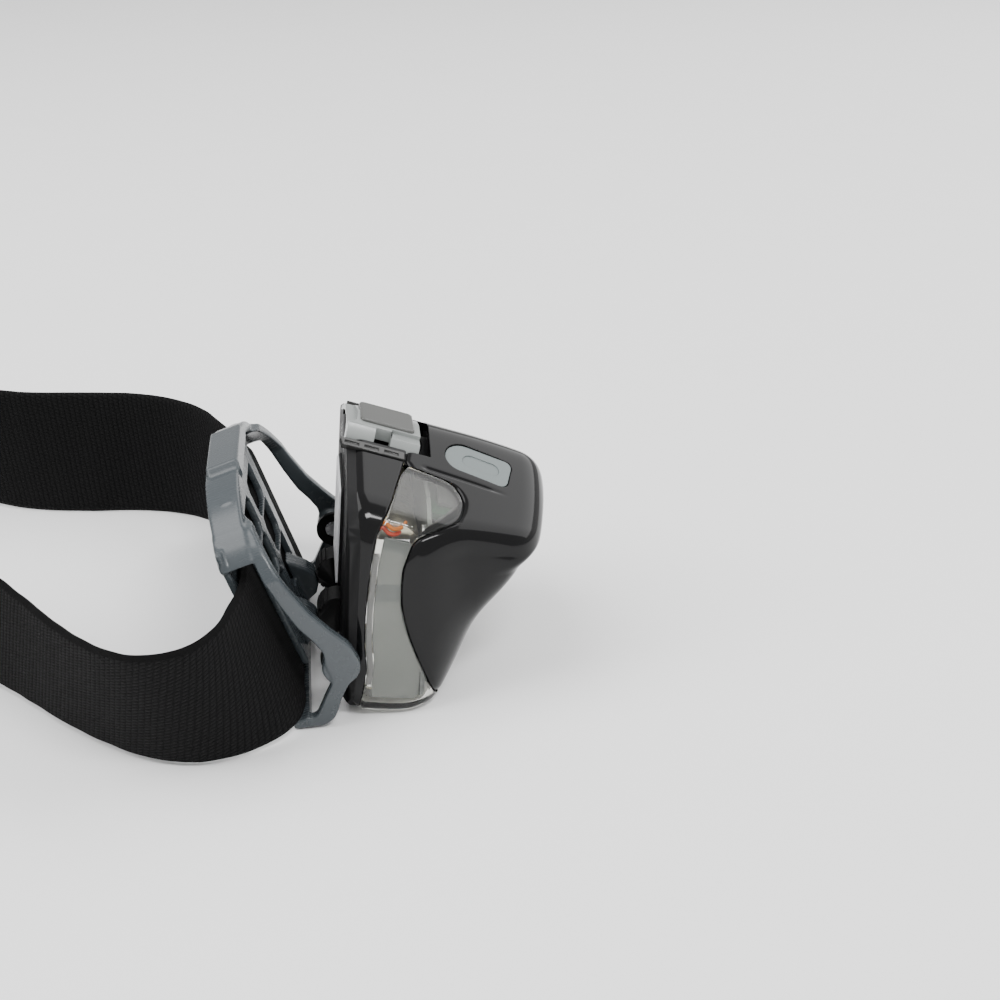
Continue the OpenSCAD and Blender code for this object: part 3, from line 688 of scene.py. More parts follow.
hood_b = np.array([window(y, v_) for y, v_ in densify(win_half, 0.5)])
ha = np.asarray(hood_a)
k1, k2 = key_index(ha[: len(ha) - 20], (10.0 + GAP, 28.7)), key_index(ha[: len(ha) - 20], (19.4 + GAP, 24.0))
k3, k4 = key_index(ha[: len(ha) - 20], (10.3 + GAP, 19.2)), key_index(ha[: len(ha) - 20], (17.0 + GAP, -8.3))
hood_a = resample(ha, NA + 120, [(0, 0), (k1, 0.15), (k2, 0.40), (k3, 0.60), (k4, 0.84), (len(ha) - 1, 1)])
kb = [int(np.argmin(np.linalg.norm(hood_b - window(*q), axis=1))) for q in ((7, 2.8), (14.6, 4.6), (16.0, 12), (15.6, 25.5))]
hood_b = resample(hood_b, NA + 120, [(0, 0), (kb[0], 0.15), (kb[1], 0.40), (kb[2], 0.60), (kb[3], 0.84), (len(hood_b) - 1, 1)])
CH = np.array([14.5, 0.0, 10.0])
o, i_ = shell_grid(hood_a, hood_b, CH, 230, 1.4, (1.3, 0.55), (0.5, 0.4))
hood_ob = shell_mesh("front_shell_skin", o, i_, MAT["black"])

# clear body: the strips between seam and hood, and the foot under them
lens_a = side_line([(x + GAP, z) for x, z in seam_side][1:]) + floor_line([(3.75, 22.6), (3.75, 0)])
lens_b = side_line([(x - GAP, z) for x, z in hood_side][1:]) + floor_line([(16.9, 22.0), (16.9, 0)])
lens_a, lens_b = np.array(lens_a), np.array(lens_b)
lens_a[-1][1] = lens_b[-1][1] = 0.0
la = [key_index(lens_a[:-30], q) for q in ((6.8 + GAP, 25), (5.0 + GAP, 21.6), (3.6 + GAP, -7.4))]
lb = [key_index(lens_b[:-30], q) for q in ((19.4 - GAP, 24.0), (11.2 - GAP, 20.8), (17.0 - GAP, -8.3))]
lens_a = resample(lens_a, NA + 60, [(0, 0), (la[0], 0.28), (la[1], 0.45), (la[2], 0.78), (len(lens_a) - 1, 1)])
lens_b = resample(lens_b, NA + 60, [(0, 0), (lb[0], 0.28), (lb[1], 0.45), (lb[2], 0.78), (len(lens_b) - 1, 1)])
o, i_ = shell_grid(lens_a, lens_b, np.array([8.0, 0.0, 9.0]), 60, 1.4, (0.4, 0.3), (0.4, 0.3))
lens_ob = shell_mesh("clear_body_skin", o, i_, MAT["clear"], ring=False)

# window pane behind the hood's opening
pane_out = [(0, 1.6)] + bez((12, 1.6), (15.7, 1.6), (16.0, 7), 9) + bez((17.7, 17.5), (19.2, 27.8), (14.2, 27.8), 11) + [(0, 27.8)]
pane_out = [(y, v_) for y, v_ in pane_out] + [(-y, v_) for y, v_ in pane_out[::-1] if abs(y) > 1e-6]
pn = len(pane_out)
pv = [window(y, v_, 2.1) for y, v_ in pane_out] + [window(y, v_, 3.2) for y, v_ in pane_out]
pf = [tuple(range(pn)), tuple(range(2 * pn - 1, pn - 1, -1))] + [(i, (i + 1) % pn, pn + (i + 1) % pn, pn + i) for i in range(pn)]
pane = make("window_pane", lamp(pv), pf, MAT["clear"], smooth=False)
b = pane.modifiers.new("bevel", "BEVEL")
b.width, b.segments, b.limit_method = 0.0002, 2, "ANGLE"


# ---------------------------------------------------------------- cut-outs in the roof
def button_frame(side):
    a = ry(14.04)
    c, s = math.cos(math.radians(21.2)), math.sin(math.radians(21.2))
    rx = np.array([[1, 0, 0], [0, c, -s], [0, s, c]])
    c, s = math.cos(math.radians(-9)), math.sin(math.radians(-9))
    rz = np.array([[c, -s, 0], [s, c, 0], [0, 0, 1]])

    def to(p):
        q = np.asarray(p, float).reshape(-1, 3) @ rz.T @ rx.T + np.array([15.35, -6.4, 31.45])
        q = q @ a.T
        if side > 0:
            q = q * np.array([1, -1, 1])
        return lamp(q)

    return to


def slot_outline(l, w):
    p = [(-l / 2 + w / 2 + w / 2 * math.cos(math.radians(90 + i * 7.5)), w / 2 * math.sin(math.radians(90 + i * 7.5))) for i in range(25)]
    r = 1.4
    p += [(l / 2 - r + r * math.cos(math.radians(-90 + i * 11.25)), -w / 2 + r + r * math.sin(math.radians(-90 + i * 11.25))) for i in range(9)]
    p += [(l / 2 - r + r * math.cos(math.radians(i * 11.25)), w / 2 - r + r * math.sin(math.radians(i * 11.25))) for i in range(9)]
    return p


for side in (-1, 1):
    cutter = prism("cutter", slot_outline(11.9, 6.7), -6, 4, button_frame(side))
    cut(hood_ob, cutter)


def roof_box(x0, x1, y, z0, z1):
    a = ry(14.04)

    def to(p):
        return lamp(np.asarray(p, float) @ a.T)

    return prism("cutter", [(x0, -y), (x1, -y), (x1, y), (x0, y)], z0, z1, to)


def lamp_box(x0, x1, y, z0, z1):
    return prism("cutter", [(x0, -y), (x1, -y), (x1, y), (x0, y)], z0, z1, lamp)


cut(hood_ob, lamp_box(5, 14.4, 8.05, 20, 50))
cut(rear_ob, lamp_box(-5, 14.4, 8.05, 26.5, 50))

# ---------------------------------------------------------------- what lies inside the skins
def core_solid(o, c, rear_open=False):
    """A closed solid a little inside the skin, to trim the carried-over pieces with."""
    nu, nv = 96, 64
    c = np.asarray(c, float)
    th = np.linspace(0, 2 * math.pi, nu, endpoint=False)
    ph = np.linspace(-math.pi / 2, math.pi / 2, nv)[1:-1]
    d = np.stack([np.outer(np.cos(ph), np.cos(th)), np.outer(np.cos(ph), np.sin(th)), np.outer(np.sin(ph), np.ones(nu))], -1).reshape(-1, 3)
    d = np.concatenate([d, [[0, 0, -1.0], [0, 0, 1.0]]])
    p = c + d * march(c, d, o, 34.0 if rear_open else 70.0, rear_open)[:, None]
    m = nv - 2
    f = [(i * nu + j, i * nu + (j + 1) % nu, (i + 1) * nu + (j + 1) % nu, (i + 1) * nu + j) for i in range(m - 1) for j in range(nu)]
    f += [(m * nu, (j + 1) % nu, j) for j in range(nu)] + [(m * nu + 1, (m - 1) * nu + j, (m - 1) * nu + (j + 1) % nu) for j in range(nu)]
    return make("core", lamp(p), f, MAT["black"], smooth=False)


def trimmed(node, name, mat, cutter, width=0.0, op="INTERSECT"):
    """A copy of a CAD node kept inside the cutter, with its edges rounded."""
    ob = bpy.data.objects.new(name, nodes[node].data.copy())
    bpy.context.scene.collection.objects.link(ob)
    bpy.context.view_layer.update()
    ob.matrix_world = nodes[node].matrix_world.copy()
    bpy.context.view_layer.update()
    ob.data.materials.clear()
    ob.data.materials.append(mat)
    cut(ob, cutter, op)
    for p in ob.data.polygons:
        p.use_smooth = False
    if width:
        soften(ob, width, 2)
        bake(ob)
    return ob


MAT["back"] = plastic("black_moulding", (0.0062, 0.0062, 0.0066), 0.5, 0.1, 0.16, 900, 0.00003, 0.0002)
rear_face.data.materials[0] = MAT["back"]
rear_in = trimmed("rear_shell", "rear_shell_inside", MAT["back"], core_solid(0.35, (6.0, 0, 10.0), True), 0.00012)
hood_in = trimmed("front_shell", "front_shell_inside", MAT["back"], core_solid(0.5, (14.0, 0, 9.0)), 0.0001)
bezel_in = trimmed("front_bezel", "front_bezel_plate", MAT["bezel"], core_solid(1.5, (14.0, 0, 9.0)), 0.0001)
foot_in = trimmed("lens_body", "clear_body_hinge", MAT["clear"], lamp_box(-3, 4.7, 22.5, -12, -6.3))
for ob in (rear_face, rear_in):
    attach(ob, "battery_case")
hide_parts("rear_shell")
for ob in (hood_in, bezel_in, foot_in):
    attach(ob, "front_unit")
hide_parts("front_bezel")
for ob in (rear_ob,):
    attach(ob, "battery_case")
for ob, sl in ((hood_ob, "black_shell"), (lens_ob, "clear_plastic"), (pane, "clear_plastic")):
    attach(ob, "front_unit")
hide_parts("front_shell")
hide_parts("lens_body")

# ---------------------------------------------------------------- latch, pad, ledge, label and wires
A14 = ry(14.04)


def roofwise(p):
    """Along the roof's forward slope, across, and square to the roof, mm, to the row frame."""
    return lamp(np.asarray(p, float).reshape(-1, 3) @ A14.T)


def extrude_x(name, pts, x0, x1, mat):
    n = len(pts)
    v = [(x0, y, z) for y, z in pts] + [(x1, y, z) for y, z in pts]
    f = [tuple(range(n - 1, -1, -1)), tuple(range(n, 2 * n))]
    f += [(i, (i + 1) % n, n + (i + 1) % n, n + i) for i in range(n)]
    return make(name, roofwise(v), f, mat, smooth=False)


def mirror_y(pts):
    return pts + [(-y, z) for y, z in pts[::-1] if abs(y) > 1e-6]


R0 = 34.04
latch = extrude_x("top_latch_body", [(0, R0 - 0.55), (-3.6, R0 - 0.75), (-5.5, R0 - 0.9), (-5.9, R0 - 0.6), (-6.35, R0 - 0.85), (-7.6, R0 - 2.55), (-7.9, R0 - 3.3),
                                     (-7.9, R0 - 4.0), (-6.2, R0 - 3.7), (-4.8, R0 - 2.6), (-2.5, R0 - 2.0), (2.5, R0 - 2.0), (4.8, R0 - 2.7),
                                     (7.9, R0 - 4.0), (7.9, R0 - 3.2), (3.4, R0 - 1.05)], -7.7, 4.95, MAT["latch"])


def roof_cutter(pts, z0, z1):
    n = len(pts)
    v = [(x, y, z0) for x, y in pts] + [(x, y, z1) for x, y in pts]
    f = [tuple(range(n - 1, -1, -1)), tuple(range(n, 2 * n))] + [(i, (i + 1) % n, n + (i + 1) % n, n + i) for i in range(n)]
    return make("cutter", roofwise(v), f, MAT["black"], smooth=False)


for sy in (-1, 1):
    # notch between the two blocks, and a step down to the front block
    cut(latch, roof_cutter([(-2.9, sy * 5.3), (-0.1, sy * 5.3), (-0.1, sy * 9), (-2.9, sy * 9)], R0 - 6, R0 + 2))
    cut(latch, roof_cutter([(-0.1, sy * 4.5), (6, sy * 4.5), (6, sy * 9), (-0.1, sy * 9)], R0 - 1.5, R0 + 2))
    # the rear end runs forwards towards the middle
    cut(latch, roof_cutter([(-10, 0), (-5.9, 0), (-6.2, sy * 4.0), (-7.3, sy * 5.3), (-7.75, sy * 5.6), (-10, sy * 5.6)], R0 - 1.6, R0 + 2))
bm_ = latch.modifiers.new("bevel", "BEVEL")
bm_.width, bm_.segments, bm_.limit_method, bm_.angle_limit = 0.00026, 3, "ANGLE", math.radians(25)
bake(latch)
for p in latch.data.polygons:
    p.use_smooth = True
wn = latch.modifiers.new("normals", "WEIGHTED_NORMAL")
wn.keep_sharp = False
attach(latch, "latch")
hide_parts("top_latch")


def rounded(x0, x1, y, r, n=7):
    out = []
    for cx, cy, a0 in ((x1 - r, y - r, 0), (x0 + r, y - r, 90), (x0 + r, -y + r, 180), (x1 - r, -y + r, 270)):
        out += [(cx + r * math.cos(math.radians(a0 + 90 * i / (n - 1))), cy + r * math.sin(math.radians(a0 + 90 * i / (n - 1)))) for i in range(n)]
    return out


pad = roof_cutter(rounded(-5.6, 3.9, 4.2, 0.9), R0 - 1.6, R0 - 0.28)
pad.name = "latch_pad_insert"
pad.data.materials[0] = MAT["pad"]
bm_ = pad.modifiers.new("bevel", "BEVEL")
bm_.width, bm_.segments, bm_.limit_method, bm_.angle_limit = 0.00035, 3, "ANGLE", math.radians(35)
bake(pad)
for p in pad.data.polygons:
    p.use_smooth = True
wn = pad.modifiers.new("normals", "WEIGHTED_NORMAL")
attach(pad, "latch")
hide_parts("latch_pad")


def facet_frame(side, x, y):
    """On the roof's side slope: x along it, y down it, z out of it."""
    c, s_ = math.cos(math.radians(21.8)), math.sin(math.radians(21.8))
    z = R0 - 0.388 * (y - 0.91)

    def to(p):
        p = np.asarray(p, float).reshape(-1, 3)
        yy = y + p[:, 1] * c + p[:, 2] * s_
        zz = z - p[:, 1] * s_ + p[:, 2] * c
        return roofwise(np.stack([x + p[:, 0], side * yy, zz], 1))

    return to


for side in (-1, 1):
    to = facet_frame(side, 0.0, 8.75)
    rear_end = -8.7 if side < 0 else -7.0
    rail = prism("ledge_rail_%s" % ("near" if side < 0 else "far"), [(rear_end, 0.1), (rear_end + 0.5, 1.75), (2.45, 1.75), (2.35, 0.1)], -0.5, 0.55, to)
    # a line of shallow pockets along the rail
    for k in range(3):
        x0 = rear_end + 0.8 + k * (3.4 if side < 0 else 2.9)
        cut(rail, prism("cutter", [(x0, 0.62), (x0 + 2.45, 0.62), (x0 + 2.45, 1.32), (x0, 1.32)], 0.25, 2, to))
    # the rail's grey material is painted highlight for the strip's bright reflection
    rail.data.materials[0] = MAT["rail"] if "rail" in MAT else MAT["black"]
    bm_ = rail.modifiers.new("bevel", "BEVEL")
    bm_.width, bm_.segments, bm_.limit_method, bm_.angle_limit = 0.00014, 3, "ANGLE", math.radians(30)
    bake(rail)
    for p in rail.data.polygons:
        p.use_smooth = True
    rail.modifiers.new("normals", "WEIGHTED_NORMAL")
    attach(rail, "battery_case")

# label on a low raised field of the rear face
field = prism("label_field", rounded(4.4, 22.8, 8.6, 1.0), -0.3, 0.6, lambda p: lamp(np.stack([np.asarray(p, float)[:, 2], np.asarray(p, float)[:, 1], np.asarray(p, float)[:, 0]], 1)))
field.data.materials[0] = MAT["back"]
film = prism("label_sheet", rounded(4.8, 22.4, 8.2, 0.8), -0.62, -0.2, lambda p: lamp(np.stack([np.asarray(p, float)[:, 2], np.asarray(p, float)[:, 1], np.asarray(p, float)[:, 0]], 1)))
film.data.materials[0] = MAT["label"]
for ob in (field, film):
    bm_ = ob.modifiers.new("bevel", "BEVEL")
    bm_.width, bm_.segments, bm_.limit_method, bm_.angle_limit = 0.00006 if ob is film else 0.0003, 2, "ANGLE", math.radians(40)
    bake(ob)
    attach(ob, "battery_case")
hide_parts("rear_label")


def tube(name, pts, r, mat, seg=14):
    p = curve_through(pts, 10)
    p = np.array(p)
    t = np.gradient(p, axis=0)
    t /= np.linalg.norm(t, axis=1, keepdims=True)
    up = np.array([0.0, 1.0, 0.0])
    verts = []
    for q, d in zip(p, t):
        a_ = np.cross(d, up)
        a_ /= np.linalg.norm(a_)
        b_ = np.cross(d, a_)
        verts += [q + r * (math.cos(2 * math.pi * k / seg) * a_ + math.sin(2 * math.pi * k / seg) * b_) for k in range(seg)]
    n = len(p)
    faces = [(i * seg + k, i * seg + (k + 1) % seg, (i + 1) * seg + (k + 1) % seg, (i + 1) * seg + k) for i in range(n - 1) for k in range(seg)]
    faces += [tuple(range(seg))[::-1], tuple((n - 1) * seg + k for k in range(seg))]
    return make(name, lamp(verts), faces, mat)


wire_a = tube("battery_wire_red", [(5.4, -20.0, 22.6), (5.9, -22.0, 22.2), (7.0, -23.2, 21.6), (8.3, -22.6, 21.3), (9.3, -20.4, 21.3)], 0.33, MAT["wire_red"])
wire_b = tube("battery_wire_orange", [(5.6, -19.6, 23.4), (6.2, -21.8, 23.0), (7.4, -23.0, 22.4), (8.7, -22.3, 22.1), (9.7, -20.0, 22.0)], 0.33, MAT["wire_orange"])
for ob in (wire_a, wire_b):
    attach(ob, "front_unit")
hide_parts("battery_wires")

# ---------------------------------------------------------------- head band
BAND_W, BAND_T = 26.0, 1.5
LINE_O, LINE_D = np.array([-64, 66.4]), np.array([-0.96, 0.28])


def row_line(u, z):
    q = LINE_O + LINE_D * u
    return [q[0], q[1], 0, 0, z]


ROWS = [row_line(u, 3.0) for u in (67, 58, 44)] + [row_line(25, 3.0), row_line(13, 1.4)] + [
    [-64, 66.4, 0.3, 0.8, 0.2], [-51, 64.6, 0.7, 1.4, 0], [-40.5, 63.2, 0.6, 0.8, 0], [-31.5, 59.6, 0, 0, 0], [-24.8, 53, -0.6, -0.4, 0.3],
    [-19.4, 43.5, -1.6, -0.8, 0.9], [-14.6, 34.5, -3.2, -0.5, 1.7], [-10.93, 27.5, -4.4, 0, 2.0], [-10.93, 18, -4.4, 0, 2.0], [-10.93, 0, -4.4, 0, 2.0],
    [-10.93, -18, -4.4, 0, 2.0], [-10.93, -27.5, -4.4, 0, 2.0], [-13.2, -33.6, -3.6, -1.0, 1.3], [-17.4, -38.6, -1.7, -2.6, 0.4],
    [-23.5, -41.3, -0.5, -3.9, 0], [-30.5, -40.2, -0.2, -4.8, 0], [-37.5, -35.2, 0.4, -5.2, 0], [-44.5, -27.8, 1.0, -5.0, 0],
    [-50.8, -19.8, 1.3, -4.4, 0], [-58.5, -10.8, 1.1, -3.2, 0], [-69.5, -1.6, 0.6, -1.8, 0], [-84, 5.6, 0.2, -0.8, 0], [-103, 12.6, 0, 0, 0],
    [-123, 20.4, 0, 0, 0], [-142, 29.2, 0, 0, 0], [-158, 39.6, 0, 0, 0], [-169, 51.6, 0, 0, 0], [-174.6, 65, 0, 0, 0.1],
    [-173.8, 78.4, 0, 0, 0.7], [-166.4, 88.6, 0, 0, 1.7]] + [row_line(u, 3.0) for u in (94, 83)]
ROWS = np.array(ROWS, float)


def catmull(rows, steps):
    r = np.concatenate([rows[:1], rows, rows[-1:]])
    out = []
    for i in range(1, len(r) - 2):
        a, b, c, d = r[i - 1: i + 3]
        for k in range(steps):
            t = k / steps
            out.append(0.5 * (2 * b + (c - a) * t + (2 * a - 5 * b + 4 * c - d) * t * t + (3 * b - a - 3 * c + d) * t ** 3))
    out.append(rows[-1])
    return np.array(out)


def smooth_path(q, step):
    s = np.concatenate([[0], np.cumsum(np.linalg.norm(np.diff(q[:, :2], axis=0), axis=1))])
    n = int(s[-1] / step) + 1
    g = np.linspace(0, s[-1], n)
    return np.stack([np.interp(g, s, q[:, i]) for i in range(q.shape[1])], 1), g


def ribbon(name, low, high, g, t, seg=26, wave=0.0, seed=0.0):
    """A woven band between a lower and an upper edge line: rounded selvedges, softly uneven."""
    n = len(low)
    d = np.gradient((low + high) / 2, axis=0)
    across = high - low
    across /= np.linalg.norm(across, axis=1, keepdims=True)
    nor = np.cross(d, across)
    nor /= np.linalg.norm(nor, axis=1, keepdims=True)
    v = np.linspace(0, 1, seg)
    w = np.linalg.norm(high - low, axis=1)
    verts, uv = [], []
    # section: outer face, rolled top edge, inner face, rolled bottom edge
    prof = [(x, 1.0) for x in v[1:-1]] + [(1.0, 0.0)] + [(x, -1.0) for x in v[1:-1][::-1]] + [(0.0, 0.0)]
    h = t / 2
    for i in range(n):
        for x, s in prof:
            e = min(x, 1 - x) * w[i]
            fall = h * (1 - 0.35 * math.exp(-e / 0.9))
            und = wave * math.sin(g[i] * 0.9 + seed) * math.sin(3.1 * x + g[i] * 0.13)
            p = low[i] + across[i] * w[i] * x + nor[i] * (s * fall + und)
            verts.append(p)
            uv.append((g[i] * MM, (x * w[i] + (40 if s < 0 else 0)) * MM))
    m = len(prof)
    faces = []
    for i in range(n - 1):
        for j in range(m):
            a, b = i * m + j, i * m + (j + 1) % m
            faces.append((a, b, b + m, a + m))
    faces.append(tuple(range(m))[::-1])
    faces.append(tuple((n - 1) * m + j for j in range(m)))
    return verts, faces, uv


path, g = smooth_path(catmull(ROWS, 24), 0.7)
off = np.linalg.norm(path[:, 2:4], axis=1)
low = np.stack([path[:, 0] - path[:, 2], path[:, 1] - path[:, 3], np.maximum(path[:, 4], 0) + off * BAND_T / BAND_W], 1)
high = np.stack([path[:, 0] + path[:, 2], path[:, 1] + path[:, 3], low[:, 2] + np.sqrt(BAND_W ** 2 - 4 * off ** 2)], 1)
vs, fs, uv = ribbon("head_band", low, high, g, BAND_T, 30, 0.05)
band = make("head_band_webbing", world(vs), fs, MAT["webbing"], uv=uv)
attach(band, "bracket")
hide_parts("head_band")



def turn(c, r, a0, a1, n):
    return [(c[0] + r * math.cos(math.radians(a0 + (a1 - a0) * i / n)), c[1] + r * math.sin(math.radians(a0 + (a1 - a0) * i / n))) for i in range(n + 1)]


def loop_band(name, path2, seed):
    """A length of the same webbing standing on edge along a plan path of (along, inwards) points."""
    q = np.array(densify([np.array([*p, 0.0]) for p in path2], 0.35))[:, :2]
    for _ in range(10):
        q[1:-1] = (q[:-2] + 2 * q[1:-1] + q[2:]) / 4
    s_ = np.concatenate([[0], np.cumsum(np.linalg.norm(np.diff(q, axis=0), axis=1))])
    perp = np.array([-LINE_D[1], LINE_D[0]])
    w_ = LINE_O + q[:, :1] * LINE_D + q[:, 1:2] * perp
    lo = np.concatenate([w_, np.full((len(w_), 1), 3.0)], 1)
    hi = lo + np.array([0, 0, BAND_W])
    vs_, fs_, uv_ = ribbon(name, lo, hi, s_ + seed, BAND_T - 0.15, 30, 0.03)
    return make(name, world(vs_), fs_, MAT["webbing"], uv=uv_), float(s_[-1])


back_path = [(66.8, 0.0), (69, 0)] + turn((71, 1.95), 1.95, -90, 90, 12) + [(69, 3.7), (65, 2.3), (62, 1.7), (53.1, 1.65), (46, 1.65)] \
    + turn((43.8, 3.25), 1.6, 270, 90, 12) + [(46, 4.85), (47.4, 4.6)]
ret, ret_len = loop_band("band_return", back_path, 300)
tail, tail_len = loop_band("band_sewn_end", [(83.2, 0.0), (79, 0)] + turn((77, 1.95), 1.95, 270, 90, 12) + [(79, 3.7), (82.5, 2.1), (85, 1.6), (91, 1.55)], 420)
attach(tail, "bracket")


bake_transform(ret)
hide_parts("band_slider_fold")

# ---------------------------------------------------------------- tilt bracket, moulded in one piece
def poly_distance(pts, gx, gy):
    """Signed distance from grid points to a closed outline, negative inside."""
    p = np.asarray(pts, float)
    q = np.roll(p, -1, axis=0)
    best = np.full(gx.shape, 1e9)
    inside = np.zeros(gx.shape, bool)
    for (ax, ay), (bx, by) in zip(p, q):
        ex, ey = bx - ax, by - ay
        l2 = ex * ex + ey * ey
        if l2 < 1e-12:
            continue
        t = np.clip(((gx - ax) * ex + (gy - ay) * ey) / l2, 0, 1)
        best = np.minimum(best, np.hypot(gx - ax - t * ex, gy - ay - t * ey))
        if abs(ey) > 1e-12:
            inside ^= ((ay > gy) != (by > gy)) & (gx < ax + (gy - ay) * ex / ey)
    return np.where(inside, -best, best)


def slab(d2, v, lo, hi, r):
    """An outline's distance d2 drawn along v from lo to hi, with edges rounded to r."""
    a_, b_ = d2 + r, np.abs(v - (lo + hi) / 2) - (hi - lo) / 2 + r
    return np.minimum(np.maximum(a_, b_), 0) + np.hypot(np.maximum(a_, 0), np.maximum(b_, 0)) - r


def join(a_, b_, k):
    h = np.clip(0.5 + 0.5 * (b_ - a_) / k, 0, 1)
    return b_ * (1 - h) + a_ * h - k * h * (1 - h)


def nets(name, V, o, step, to_world, mat):
    """Surface nets: one vertex in each cell the surface crosses."""
    neg = V < 0
    nx, ny, nz = V.shape
    acc = np.zeros((nx - 1, ny - 1, nz - 1, 3))
    cnt = np.zeros((nx - 1, ny - 1, nz - 1))
    quads = []
    for ax in range(3):
        lo = [slice(None)] * 3
        hi = [slice(None)] * 3
        lo[ax], hi[ax] = slice(0, -1), slice(1, None)
        a_, b_ = V[tuple(lo)], V[tuple(hi)]
        cross = (a_ < 0) != (b_ < 0)
        t = np.where(cross, a_ / np.where(cross, a_ - b_, 1), 0)
        i = np.argwhere(cross)
        pos = i.astype(float)
        pos[:, ax] += t[cross]
        o1, o2 = [k for k in range(3) if k != ax]
        for d1 in (0, 1):
            for d2 in (0, 1):
                c = i.copy()
                c[:, o1] -= d1
                c[:, o2] -= d2
                ok = np.all((c >= 0) & (c < [nx - 1, ny - 1, nz - 1]), axis=1)
                np.add.at(acc, tuple(c[ok].T), pos[ok])
                np.add.at(cnt, tuple(c[ok].T), 1)
        ring = []
        for d1, d2 in ((0, 0), (1, 0), (1, 1), (0, 1)):
            c = i.copy()
            c[:, o1] -= d1
            c[:, o2] -= d2
            ring.append(c)
        quads.append((np.stack(ring, 1), neg[tuple(i.T)], ax))
    act = cnt > 0
    num = np.full(cnt.shape, -1, dtype=np.int64)
    num[act] = np.arange(act.sum())
    idx = acc[act] / cnt[act][:, None]
    grads = np.gradient(V)

    def sample(G, q):
        i0 = np.clip(np.floor(q).astype(int), 0, np.array(V.shape) - 2)
        fr = q - i0
        out = 0.0
        for dx in (0, 1):
            for dy in (0, 1):
                for dz in (0, 1):
                    w_ = (fr[:, 0] if dx else 1 - fr[:, 0]) * (fr[:, 1] if dy else 1 - fr[:, 1]) * (fr[:, 2] if dz else 1 - fr[:, 2])
                    out = out + w_ * G[i0[:, 0] + dx, i0[:, 1] + dy, i0[:, 2] + dz]
        return out

    for _ in range(3):
        v_ = sample(V, idx)
        g_ = np.stack([sample(G, idx) for G in grads], 1)
        mv = -v_[:, None] * g_ / np.maximum((g_ * g_).sum(1), 1e-4)[:, None]
        idx = idx + np.clip(mv, -0.45, 0.45)
    verts = idx * step + np.asarray(o)
    faces = []
    for q, first, ax in quads:
        ids = num[q[..., 0], q[..., 1], q[..., 2]]
        flip = first if ax != 1 else ~first
        ids = np.where(flip[:, None], ids[:, ::-1], ids)
        faces.append(ids)
    ob = make(name, to_world(verts), np.concatenate(faces), mat, recalc=False)
    bm = bmesh.new()
    bm.from_mesh(ob.data)
    if bm.calc_volume(signed=True) < 0:
        bmesh.ops.reverse_faces(bm, faces=bm.faces)
        bm.to_mesh(ob.data)
    bm.free()
    return ob


